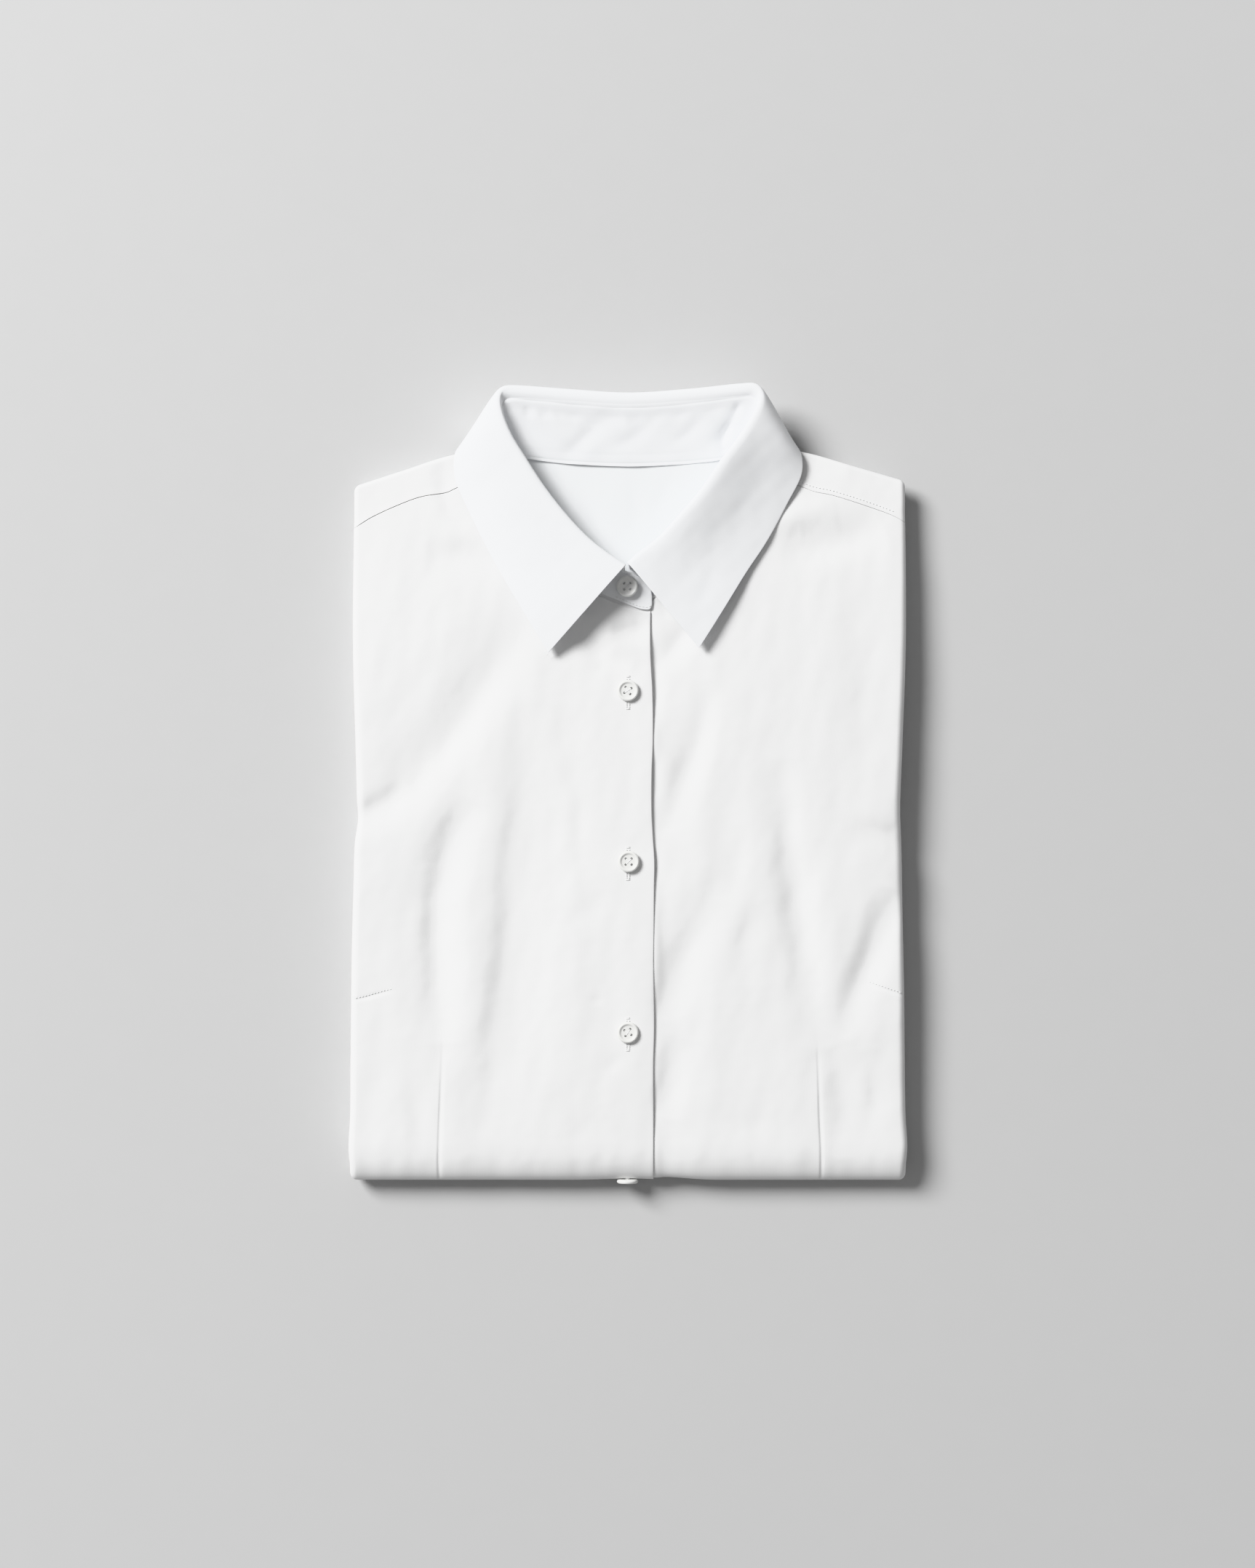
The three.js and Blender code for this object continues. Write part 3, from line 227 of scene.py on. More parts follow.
# The lapped ends of the stand from the free end inwards: x, bottom y, top y, z
STAND_OVER_END = (
    (12.7, 94.4, 99.4, 20.3), (11.4, 92.2, 104.0, 20.4), (7.2, 92.2, 108.2, 20.5),
    (2.0, 93.9, 111.2, 20.5),
)
STAND_UNDER_END = (
    (0.0, 95.0, 110.5, 17.2), (-6.0, 94.6, 109.0, 17.0), (-11.6, 95.2, 105.0, 17.0),
    (-12.9, 97.2, 101.0, 17.0),
)
STAND_RISE = 0.07  # slope of those ends
STAND_LAP = 1.3  # how far the stand's inner ply laps over the leaf at their seam
# Rows of stitches on the stand: from its upper edge, then from its lower one
ROW_FROM_TOP = 1.9
ROWS_FROM_BOTTOM = (1.6, 6.2)
FURROW_WIDTH = 0.6
# y, then half the width and the height of the yoke's inside, seen through the neck
YOKE_INSIDE = ((94, 16, 12.4), (118, 33, 13.6), (136, 50, 15.2), (152, 62, 16.7), (173.5, 64, 17.85))

# ------------------------------------------------------------------ arithmetic on stations


def mix(a, b, t):
    return a + (b - a) * t


def smooth(low, high, value):
    """0 at `low` and 1 at `high`, with an easy start and stop."""
    t = np.clip((value - low) / (high - low), 0, 1)
    return t * t * (3 - 2 * t)


def bell(offset, width):
    """1 where `offset` is 0, and falling off softly over `width` to both sides."""
    return np.exp(-((offset / width) ** 2))


def passed(value, start):
    """The share of the step from `start` to `start` + 1 that lies behind `value`."""
    return np.clip(value - start, 0, 1)


def read(rows, column, at):
    """A column of a table at `at`, smoothly, where the table's first column grows downwards."""
    rows = np.asarray(rows, float)
    by, value = rows[:, 0], rows[:, column]
    last = len(by) - 1
    index = np.arange(last + 1)
    before, after = np.maximum(index - 1, 0), np.minimum(index + 1, last)
    slope = (value[after] - value[before]) / (by[after] - by[before])
    at = np.clip(at, by[0], by[-1])
    k = np.clip(np.searchsorted(by, at, side="right") - 1, 0, last - 1)
    span = by[k + 1] - by[k]
    t = (at - by[k]) / span
    bent = slope[k] * t * (1 - t) ** 2 - slope[k + 1] * t * t * (1 - t)
    return mix(value[k], value[k + 1], t * t * (3 - 2 * t)) + span * bent


def spline(a, b, c, d, t):
    """From b to c, on the smooth curve through a, b, c and d."""
    return b + 0.5 * ((c - a) * t + (2 * a - 5 * b + 4 * c - d) * t * t + (3 * (b - c) + d - a) * t ** 3)


def catmull(points, at):
    """A smooth curve through the rows of `points`, at fractional row numbers."""
    points = np.asarray(points, float)
    last = len(points) - 1
    k = np.clip(np.floor(at).astype(int), 0, last - 1)
    t = np.reshape(at - k, np.shape(at) + (1,) * (points.ndim - 1))
    return spline(*(points[np.clip(k + step, 0, last)] for step in (-1, 0, 1, 2)), t)


WINDOW = (-0.8, 0.6)  # the side that the light comes from, in plan
WIDTH_BLEND = 0.4  # how softly a crease changes from its near to its far width round its ends
FADE = 0.75  # below 1 a crease keeps its depth nearer to its ends


def sunk(x, y, creases):
    """How deep the creases lie at (x, y)."""
    total = np.zeros(np.shape(x))
    for depth, near_width, far_width, *line in creases:
        line = np.asarray(line, float)
        steps = np.diff(line, axis=0)
        lengths = np.hypot(*steps.T)
        walked = np.concatenate([[0], np.cumsum(lengths)])
        best = np.full(np.shape(x), np.inf)
        along = np.zeros(np.shape(x))
        side = np.zeros(np.shape(x))
        for k, (step, length) in enumerate(zip(steps, lengths)):
            t = np.clip(((x - line[k, 0]) * step[0] + (y - line[k, 1]) * step[1]) / length ** 2, 0, 1)
            dx, dy = x - line[k, 0] - t * step[0], y - line[k, 1] - t * step[1]
            distance = np.hypot(dx, dy)
            closer = distance < best
            best = np.where(closer, distance, best)
            along = np.where(closer, (walked[k] + t * length) / walked[-1], along)
            side = np.where(closer, dx * WINDOW[0] + dy * WINDOW[1], side)
        width = mix(far_width, near_width, smooth(-WIDTH_BLEND, WIDTH_BLEND, side / (best + 1e-9)))
        fade = np.sin(math.pi * np.clip(along, 0.02, 0.98)) ** FADE
        total += depth * fade * bell(best, width)
    return total


def ripple(x, y, size, seed):
    """Gentle uneven waves about `size` across, between -1 and 1."""
    rng = np.random.default_rng(seed)
    total = np.zeros(np.shape(x))
    for _ in range(10):
        turn = rng.uniform(0, 2 * math.pi)
        shift = rng.uniform(0, 2 * math.pi)
        length = size * rng.uniform(0.7, 1.6)
        total += np.sin((x * math.cos(turn) + y * math.sin(turn)) * 2 * math.pi / length + shift)
    return total / 4.5


def stations(*spans):
    """Station numbers over spans of (from, to, how many steps)."""
    parts = [np.linspace(a, b, n, endpoint=False) for a, b, n in spans]
    return np.concatenate(parts + [[spans[-1][1]]])


# ------------------------------------------------------------------ the form of the folded body


def side_thickness(y):
    return read(THICKNESS, 2, y)


def lip_radius(y):
    return LIP * side_thickness(y)


def shoulder_y(x):
    return read(SHOULDER_OUTLINE, 1, x)


def crown(x, y):
    """The crowned top of the folded shirt, without creases."""
    spread = 1 - np.clip(np.abs(x) / 147, 0, 1) ** 2.5
    return mix(side_thickness(y), read(THICKNESS, 1, y), spread)


# Slight waves of the whole top: height, squeeze along Y, size and seed
WAVES = ((0.34, 0.45, 30, 3), (0.13, 0.6, 13, 8), (0.03, 0.6, 5, 6))
# Each button presses the cloth round it down: how far, and over what width and length
PRESSED, PRESSED_WIDTH, PRESSED_LENGTH = 0.22, 8, 9


def relief(x, y):
    """How far the creases, darts and slight waves sink the top."""
    waves = sum(height * ripple(x, squeeze * y, size, seed) for height, squeeze, size, seed in WAVES)
    rows = ((y - TOP_BUTTON_Y + k * BUTTON_SPACING) / PRESSED_LENGTH for k in range(FRONT_BUTTONS))
    pressed = PRESSED * sum(np.exp(-((x / PRESSED_WIDTH) ** 2 + row ** 2)) for row in rows)
    return sunk(x, y, CREASES) + sunk(x, y, DARTS) + waves + pressed


def top_height(x, y):
    return crown(x, y) - relief(x, y)


def bottom_outline(x):
    return BOTTOM_Y + BOTTOM_DENT * bell(x, DENT_WIDTH)


def bottom_fold(x):
    """Radius of the bottom fold and Y of its axis."""
    half = crown(x, bottom_outline(x)) / 2
    return half, bottom_outline(x) + half


def way_down(v, x, top, under):
    """Y of cloth as if unrolled: from `top` at 0 to the fold at 1, round it to 2, `under` more at 3."""
    half, centre = bottom_fold(x)
    y = np.where(v <= 1, mix(top, centre, passed(v, 0)), centre - passed(v, 1) * math.pi * half)
    return y - passed(v, 2) * under


def folded(x, y, depth):
    """Cloth down the top, round the bottom fold and back underneath, `depth` inside the outer face."""
    half, centre = bottom_fold(x)
    turned = (centre - y) / half
    turn = np.clip(turned, 0, math.pi)
    past = np.maximum(turned - math.pi, 0) * half
    radius = half - depth
    sink = relief(x, np.maximum(y, centre)) * (1 - turn / math.pi)
    start = centre + SLACK
    quarter = np.clip((start - y) / (SLACK + half * math.pi / 2), 0, 1) * math.pi / 2
    upper = turned < math.pi / 2
    flat = y > start
    fall = crown(x, np.maximum(y, start)) - 2 * half
    upper_y = np.where(flat, y, start - (radius + SLACK) * np.sin(quarter))
    upper_z = np.where(flat, crown(x, y) - depth, half + (radius + fall) * np.cos(quarter))
    out_y = np.where(upper, upper_y, centre - radius * np.sin(turn) + past)
    out_z = np.where(upper, upper_z, half + radius * np.cos(turn)) - sink
    return out_y, np.maximum(out_z, 0)


def across(free_edge, outline, radius, angle, share):
    """Across a front, from its free edge at 0 to its side fold at 1 and round it up to 2."""
    way = np.sign(outline - free_edge)
    start = outline - way * radius
    bend = np.maximum(share - 1, 0) * angle
    x = mix(free_edge, start, np.minimum(share, 1)) + way * radius * np.sin(bend)
    return x, radius * (1 - np.cos(bend))


LOWER_LENGTH = 290.0  # from the bottom fold to the hem, underneath
HEM_RISE = 30  # how much shorter it is at the side seam
PLACKET_TURN = 0.45  # radius of the placket's folded edge
SEAM_TUCK = 3.0  # how far a front runs on under the yoke or the stand
SEAM_SINK = 0.8  # how deep it lies there


def front_point(u, v, free_edge, side, top_rows, lapped):
    """u: across, below 0 turned in at the placket. v: to 1 down the top, to 2 round the fold, to 3 under."""
    share, under = np.clip(u, 0, 2), np.maximum(-u, 0)
    start = free_edge - (0 if lapped else PLACKET_TURN)
    rough_y = mix(148, -200, passed(v, 0))
    rough = across(start, read(SIDE_OUTLINE, side, rough_y), lip_radius(rough_y), LIP_ANGLE, share)[0]
    hem = LOWER_LENGTH - HEM_RISE * smooth(30, 150, np.abs(rough))
    y = way_down(v, rough, read(top_rows, 1, rough) + SEAM_TUCK, hem)
    centre = bottom_fold(rough)[1]
    where = np.where(v <= 1, y, np.where(v <= 2, centre, centre + passed(v, 2) * hem))
    where = np.clip(where, BOTTOM_Y + 9, 200)
    # round the bottom fold the side's lip opens, and underneath it draws in a little
    rounding = smooth(0.96, 1.1, v) * (1 - smooth(1.9, 2.2, v))
    below = smooth(1.8, 2.1, v)
    outline = read(SIDE_OUTLINE, side, where)
    outline = outline - np.sign(outline) * (0.7 * below + 0.25 * ripple(where, where * 0, 40, 5) * below)
    radius = lip_radius(where) * (1 - 0.1 * below)
    x, depth = across(start, outline, radius, LIP_ANGLE * mix(1, 0.7, rounding), share)
    if lapped:
        beside = bell(x - PLACKET_EDGE - 1, 4) * (x > 0)
        step = mix(LAP, read(PLACKET_WAVE, 2, where), beside)
        depth = depth + step * (1 - smooth(PLACKET_EDGE + 4, PLACKET_EDGE + 34, x))
    else:
        bend = np.minimum(under / PLACKET_TURN, math.pi)
        x = x + PLACKET_TURN * np.sin(bend) - np.maximum(under - math.pi * PLACKET_TURN, 0)
        depth = depth + PLACKET_TURN * (1 - np.cos(bend))
        x = x + read(PLACKET_WAVE, 1, where) * bell(x - PLACKET_EDGE, 14)
    depth = depth + SEAM_SINK * smooth(-0.5, 0.3, y - read(top_rows, 1, x))
    return x, *folded(x, y, depth)


def shoulder_point(x, y, depth):
    """Cloth that runs up over the shoulder fold and down behind it."""
    radius = lip_radius(shoulder_y(x))
    centre = shoulder_y(x) - radius
    turn = np.maximum((y - centre) / radius, 0)
    reach = np.maximum(radius - depth, 0.05)
    over = y > centre
    out_y = np.where(over, centre + reach * np.sin(turn), y)
    out_z = np.where(over, top_height(x, centre) - radius + reach * np.cos(turn), top_height(x, y) - depth)
    return x, out_y, out_z


YOKE_TOP = 150.0  # Y where the yoke's side folds are read
YOKE_OVER = math.radians(155)  # how far the yoke runs round the shoulder fold
YOKE_RAISED = 0.22  # how proud its seam lies


def yoke_point(u, v, side, top_rows):
    """u: from the collar to the side fold, round it to 2. v: from the seam to the fold, over it to 2."""
    sign = -1 if side == 1 else 1
    angle = mix(LIP_ANGLE, math.radians(82), smooth(0, 1, v))
    outline = np.full(np.shape(u), float(read(SIDE_OUTLINE, side, YOKE_TOP)))
    x, depth = across(sign * YOKE_INNER_END, outline, lip_radius(YOKE_TOP), angle, u)
    fold_radius = lip_radius(shoulder_y(x))
    seam = read(top_rows, 1, x) - 0.1
    centre = shoulder_y(x) - fold_radius
    y = mix(seam, centre, passed(v, 0)) + fold_radius * YOKE_OVER * passed(v, 1)
    return shoulder_point(x, y, depth - YOKE_RAISED * bell(np.clip(y - seam, 0, None), 2.5))


# ------------------------------------------------------------------ the form of the collar


def collar_sections():
    """The five points of each collar section, and the stand's lower edge and sag."""
    table = np.asarray(COLLAR, float)
    roll, facing, behind, edge = table[:, 0:3], np.radians(table[:, 3]), table[:, 4], table[:, 5:8]
    full, turn, drop, neck, sag = table[:, 8], table[:, 9], table[:, 10], table[:, 11:14], table[:, 14]
    out = np.stack([np.cos(facing), np.sin(facing), np.zeros_like(facing)], 1)
    up = np.array([0, 0, 1.0])
    to_neck = (neck - roll) * (1, 1, 0)
    to_neck /= np.linalg.norm(to_neck, axis=1)[:, None]
    seam = roll + to_neck * turn[:, None] - up * drop[:, None]
    inside, outside = ROLL_RADIUS * behind[:, None], ROLL_RADIUS * (1 - behind[:, None])
    before = roll - out * inside - up * outside
    after = roll + out * outside - up * inside
    lift = (full * (1 - behind) + 0.25 * full * behind)[:, None]
    swell = mix(after, edge, 0.5) + out * (full * behind)[:, None] + up * lift
    return np.stack([seam, before, after, swell, edge], 1), neck, sag


SECTIONS, NECK, SAG = collar_sections()
LAST_SECTION = len(COLLAR) - 1


def leaf_point(place, column):
    """place: along the collar's sections. column: from the seam over the roll to the outer edge."""
    points = catmull(SECTIONS, place)
    flat = points.reshape(-1, 5, 3)
    at = np.ravel(column)
    k = np.clip(np.floor(at).astype(int), 0, 3)
    rows = np.arange(len(flat))
    around = (flat[rows, np.clip(k + step, 0, 4)] for step in (-1, 0, 1, 2))
    out = spline(*around, (at - k)[:, None])
    x, y, z = out.reshape(np.shape(place) + (3,)).transpose(2, 0, 1)
    shows = smooth(1.5, 2.2, column)
    z = z - shows * (sunk(x, y, LEAF_CREASES) + 0.22 * ripple(x, y, 30, 12) + 0.06 * ripple(x, y, 10, 14))
    return x, y, np.maximum(z, 1.3)


def stand_rows():
    """Lower and upper edge of the stand and its sag, from end to end."""
    def end(row):
        x, bottom, top, z = row
        return (x, bottom, z), (x, top, z + STAND_RISE * (top - bottom)), 0
    seam = SECTIONS[:, 0]
    top = mix(NECK, seam, 1 + STAND_LAP / np.linalg.norm(seam - NECK, axis=1)[:, None])
    rows = [end(r) for r in STAND_OVER_END] + list(zip(NECK, top, SAG)) + [end(r) for r in STAND_UNDER_END]
    return tuple(np.asarray(part, float) for part in zip(*rows))


STAND_BOTTOM, STAND_TOP, STAND_SAG = stand_rows()
LAST_STAND = len(STAND_SAG) - 1


def stand_point(place, t):
    """place: along the stand's rows. t: from its lower to its upper edge."""
    bottom, top = catmull(STAND_BOTTOM, place), catmull(STAND_TOP, place)
    sag = catmull(STAND_SAG, place)
    x, y, z = np.moveaxis(mix(bottom, top, t[..., None]), -1, 0)
    back = smooth(150, 164, y)
    length = np.linalg.norm(top - bottom, axis=-1)
    from_top, from_bottom = (1 - t) * length, t * length
    furrow = 0.22 * bell(from_top - ROW_FROM_TOP, FURROW_WIDTH)
    for sink, row in zip((0.22, 0.12), ROWS_FROM_BOTTOM):
        furrow = furrow + sink * bell(from_bottom - row, FURROW_WIDTH)
    lapped = smooth(7.5, 1.0, from_top)
    slack = smooth(0.8, 2.4, from_top) * (sunk(x, y, STAND_CREASES) + 0.2 * ripple(x, y, 14, 21))
    z = z - sag * np.sin(math.pi * t) - back * (slack + furrow - 0.55 * lapped)
    return x, y, z


def yoke_inside_point(u, v):
    y = mix(YOKE_INSIDE[0][0], YOKE_INSIDE[-1][0], v)
    x = u * read(YOKE_INSIDE, 1, y)
    z = read(YOKE_INSIDE, 2, y) + 0.3 * np.sin(u * 4 + y / 14)
    return x, y, z + 0.12 * ripple(x, y, 26, 31) - sunk(x, y, YOKE_CREASES)


# ------------------------------------------------------------------ making meshes


def add_grid(mesh, us, vs, point, flip=False):
    """A grid of cloth over the stations us and vs, with its flat measure in metres as its UV map."""
    made = bmesh.ops.create_grid(mesh, x_segments=len(us) - 1, y_segments=len(vs) - 1, size=1)["verts"]
    u, v = np.meshgrid(us, vs)
    place = np.stack(point(u, v), -1) * MM

    def run(axis):
        steps = np.linalg.norm(np.diff(place, axis=axis), axis=-1)
        return np.concatenate([np.zeros_like(steps.take([0], axis)), np.cumsum(steps, axis)], axis)

    flat = np.stack([run(1), run(0)], -1).reshape(-1, 2)
    place = place.reshape(-1, 3)
    uv = mesh.loops.layers.uv.verify()
    faces = {face for vert in made for face in vert.link_faces}
    number = {vert: k for k, vert in enumerate(made)}
    for vert, co in zip(made, place):
        vert.co = co
    for face in faces:
        for loop in face.loops:
            loop[uv].uv = flat[number[loop.vert]]
    if flip:
        bmesh.ops.reverse_faces(mesh, faces=list(faces))


def new_object(name, mesh):
    """An object of the scene with the faces of a bmesh."""
    data = bpy.data.meshes.new(name)
    mesh.to_mesh(data)
    mesh.free()
    made = bpy.data.objects.new(name, data)
    bpy.context.collection.objects.link(made)
    return made


def piece_from(mesh, name, finish):
    """Turns a bmesh into a piece of the shirt, in one material."""
    piece = new_object(name, mesh)
    piece.data.shade_smooth()
    piece.data.materials.append(finish)
    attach(piece, "root")
    return piece


def thicken(piece, thickness, edge_round=0.0):
    """Gives a sheet its thickness, and rounds its turned edges."""
    wall = piece.modifiers.new("Cloth", "SOLIDIFY")
    wall.thickness = thickness * MM
    wall.offset = -1.0
    wall.use_even_offset = False
    if edge_round:
        bevel = piece.modifiers.new("Turned edge", "BEVEL")
        bevel.width = edge_round * MM
        bevel.segments = 3
        bevel.limit_method = "ANGLE"
        bevel.angle_limit = math.radians(58)
        bevel.use_clamp_overlap = True


def add_thread(mesh, centre, along, up, length, radius):
    """One visible stitch: a short thread that dives into the cloth at both ends."""
    along = Vector(along).normalized()
    side = Vector(up).cross(along).normalized()
    up = along.cross(side)
    turn = Matrix((side * radius, up * radius, along * length / 2)).transposed().to_4x4()
    matrix = Matrix.Translation(Vector(centre) * MM) @ Matrix.Scale(MM, 4) @ turn
    bmesh.ops.create_uvsphere(mesh, u_segments=6, v_segments=4, radius=1, matrix=matrix)


def add_row(mesh, path, sizes, pitch=None):
    """A row of stitches along a path of (place, up) arrays."""
    place, up = path
    steps = np.linalg.norm(np.diff(place, axis=0), axis=1)
    walked = np.concatenate([[0], np.cumsum(steps)])
    pitch = pitch or sizes.stitch_pitch

    def there(rows, at):
        return [np.interp(at, walked, rows[:, k]) for k in range(3)]

    for at in np.arange(pitch / 2, walked[-1], pitch):
        along = np.subtract(there(place, at + 0.5), there(place, at - 0.5))
        length = pitch * sizes.stitch_share
        add_thread(mesh, there(place, at), along, there(up, at), length, sizes.thread_radius)


def surface(x, y, lift):
    """Places on the top of the fronts or the yoke, and the way up from each."""
    slope_x = top_height(x + 0.5, y) - top_height(x - 0.5, y)
    slope_y = top_height(x, y + 0.5) - top_height(x, y - 0.5)
    place = np.stack([x, y, top_height(x, y) + lift], 1)
    return place, np.stack([-slope_x, -slope_y, np.ones_like(x)], 1)


def on_top(points, lift, steps=80):
    """A path over the top of the fronts or the yoke, through plan points."""
    line = catmull(points, np.linspace(0, len(points) - 1, steps))
    return surface(line[:, 0], line[:, 1], lift)


def on_stand(from_place, to_place, from_bottom=None, from_top=None, face=0.1, steps=160):
    """A path along the stand's inside, a set distance from its lower or upper edge."""
    place = np.linspace(from_place, to_place, steps)
    length = np.linalg.norm(catmull(STAND_TOP, place) - catmull(STAND_BOTTOM, place), axis=-1)
    t = from_bottom / length if from_top is None else 1 - from_top / length

    def near(ahead, above):
        return np.stack(stand_point(place[None] + ahead, t[None] + above), -1)[0]

    here = near(0, 0)
    up = np.cross(near(0.02, 0) - here, near(0, 0.02) - here)
    up *= np.sign(up[:, 2:]) / np.linalg.norm(up, axis=1)[:, None]
    return here + up * face, up


# ------------------------------------------------------------------ materials


def linear(value):
    """An sRGB hex colour as linear RGBA."""
    parts = [int(value[k:k + 2], 16) / 255 for k in (1, 3, 5)]
    return tuple(p / 12.92 if p <= 0.04045 else ((p + 0.055) / 1.055) ** 2.4 for p in parts) + (1.0,)


def add_node(tree, kind, inputs=(), **settings):
    """Adds a node, sets its properties, and fills or links its inputs."""
    made = tree.nodes.new(kind)
    for key, value in settings.items():
        setattr(made, key, value)
    for socket, value in dict(inputs).items():
        if isinstance(value, bpy.types.NodeSocket):
            tree.links.new(value, made.inputs[socket])
        else:
            made.inputs[socket].default_value = value
    return made


def new_material(name):
    """A material without nodes, its tree, and the coordinates that its textures lie on."""
    made = bpy.data.materials.new(name)
    made.use_nodes = True
    made.node_tree.nodes.clear()
    return made, made.node_tree, add_node(made.node_tree, "ShaderNodeTexCoord")


def noise(tree, place, scale, detail=2.0):
    inputs = {"Vector": place.outputs["Object"], "Scale": scale, "Detail": detail}
    return add_node(tree, "ShaderNodeTexNoise", inputs).outputs["Fac"]


def shaded(tree, fac, colour, share):
    """A colour that falls to a share of itself where `fac` is low."""
    light = linear(colour)
    dark = tuple(part * share for part in light[:3]) + (1.0,)
    inputs = {"Factor": fac, "A": dark, "B": light}
    return add_node(tree, "ShaderNodeMix", inputs, data_type="RGBA").outputs[2]


def bumped(tree, height, strength, distance):
    inputs = {"Height": height, "Strength": strength, "Distance": distance}
    return add_node(tree, "ShaderNodeBump", inputs).outputs["Normal"]


def finished(tree, inputs):
    """The shader and the output, which every material ends with."""
    shader = add_node(tree, "ShaderNodeBsdfPrincipled", inputs)
    add_node(tree, "ShaderNodeOutputMaterial", {"Surface": shader.outputs["BSDF"]})


# Poplin: a plain weave of fine combed cotton, washed and pressed. Its threads are about 0.2 mm
# apart, too fine to see at arm's length, so the weave is drawn at 0.8 mm and very faint. It has a
# soft, nearly matt face, with a little fuzz that catches the light along folds.
def poplin(name, colour, weave=0.8, mottle=0.036):
    made, tree, place = new_material(name)
    scale = 2 * math.pi / (20 * weave * MM)  # a wave texture has 20 / (2 pi) bands to the unit
    inputs = {"Vector": place.outputs["UV"], "Scale": scale, "Distortion": 0.6}
    bands = {"wave_type": "BANDS", "wave_profile": "SIN"}
    warp, weft = (add_node(tree, "ShaderNodeTexWave", inputs, bands_direction=way, **bands) for way in "XY")
    inputs = {0: warp.outputs["Fac"], 1: weft.outputs["Fac"]}
    cross = add_node(tree, "ShaderNodeMath", inputs, operation="ADD")
    slub = noise(tree, place, 420.0, 3.0)
    inputs = {0: slub, 1: 0.6, 2: cross.outputs["Value"]}
    grain = add_node(tree, "ShaderNodeMath", inputs, operation="MULTIPLY_ADD")
    normal = bumped(tree, grain.outputs["Value"], 0.12, 0.00006)
    patchy = shaded(tree, noise(tree, place, 28.0), colour, 1 - mottle)
    finished(tree, {
        "Base Color": patchy, "Roughness": 0.86, "IOR": 1.5, "Specular IOR Level": 0.25,
        "Sheen Weight": 0.12, "Sheen Roughness": 0.6, "Normal": normal,
    })
    return made


# Polyester resin, turned and polished: bright white, with a soft gloss on the rim.
def resin(name, colour):
    made, tree, place = new_material(name)
    cloud = noise(tree, place, 260.0)
    finished(tree, {
        "Base Color": shaded(tree, cloud, colour, 0.95), "Roughness": 0.3, "IOR": 1.54,
        "Normal": bumped(tree, cloud, 0.05, 0.0001),
    })
    return made


# Spun polyester thread, two plies twisted: a fine diagonal grain and a slight lustre.
def thread(name, colour):
    made, tree, place = new_material(name)
    inputs = {"Vector": place.outputs["Object"], "Scale": 700.0, "Distortion": 1.0}
    twist = add_node(tree, "ShaderNodeTexWave", inputs, bands_direction="DIAGONAL")
    finished(tree, {
        "Base Color": linear(colour), "Roughness": 0.6, "IOR": 1.5,
        "Normal": bumped(tree, twist.outputs["Fac"], 0.25, 0.00005),
    })
    return made


# Studio paper: even, matt and pale grey.
def paper(name, colour):
    made, tree, place = new_material(name)
    fibre = noise(tree, place, 60.0)
    finished(tree, {"Base Color": shaded(tree, fibre, colour, 0.985), "Roughness": 0.9})
    return made


MAKERS = {
    "poplin_body": lambda c: poplin("poplin_body", c.cloth),
    "poplin_collar": lambda c: poplin("poplin_collar", c.collar, mottle=0.018),
    "poplin_inside": lambda c: poplin("poplin_inside", c.inside),
    "resin_button": lambda c: resin("resin_button", c.button),
    "sewing_thread": lambda c: thread("sewing_thread", c.thread),
    "studio_paper": lambda c: paper("studio_paper", c.floor),
}


def material(context, name):
    return bpy.data.materials.get(name) or MAKERS[name](context.scene.shirt_colours)


# ------------------------------------------------------------------ what a user would change


def number(name, description, default, **more):
    return FloatProperty(name=name, description=description, default=default, **more)


def size(name, description, default, low, high):
    return number(name, description + ", mm", default, min=low, max=high, unit="NONE")


def tint(name, description, default):
    return StringProperty(name=name, description=description, default=default, maxlen=7)


class ShirtSizes(bpy.types.PropertyGroup):
    """Sizes of the sewing and the buttons, in millimetres."""

    cloth: size("Cloth", "Thickness of one ply of poplin with its air", 0.4, 0.1, 1.0)
    leaf: size("Leaf", "Thickness of the interlined collar leaf", 1.2, 0.5, 2.5)
    stand: size("Stand", "Thickness of the interlined collar stand", 0.9, 0.5, 2.5)
    stitch_pitch: size("Stitch pitch", "From one stitch to the next", 1.85, 1.0, 4.0)
    stitch_share: number("Stitch share", "Share of the pitch where the thread shows", 0.66, min=0.3, max=1.0)
    thread_radius: size("Thread radius", "Radius of the sewing thread", 0.24, 0.05, 0.5)
    button_radius: size("Button radius", "Radius of a button", 5.7, 4.0, 8.0)
    button_thickness: size("Button thickness", "Thickness of a button", 2.2, 1.0, 4.0)
    hole_spacing: size("Hole spacing", "Between the centres of two holes", 3.1, 2.0, 4.0)
    hole_radius: size("Hole radius", "Radius of a button's hole", 0.62, 0.3, 1.0)
    buttonhole_length: size("Buttonhole", "Length of a worked buttonhole", 17.5, 10.0, 25.0)
    buttonhole_width: size("Buttonhole width", "Width over both worked edges", 2.7, 1.5, 4.0)
    turned_sides: IntProperty(
        name="Turned sides", description="Steps round a button", default=48, min=12, max=96)


class ShirtColours(bpy.types.PropertyGroup):
    """Colours as sRGB hex values."""

    cloth: tint("Cloth", "Colour of the poplin", "#EEEEEE")
    # The collar is the same poplin as the body. Its colour is a shade lighter only as painted light, to lift
    # the collar's tone.
    collar: tint("Collar", "Colour of the collar", "#EFEFEF")
    inside: tint("Inside", "Colour of the wrong side and the hidden layers", "#ECECED")
    button: tint("Button", "Colour of the buttons", "#EDEDEB")
    thread: tint("Thread", "Colour of the sewing thread", "#EDEDED")
    floor: tint("Floor", "Colour of the floor", "#C6C6C6")


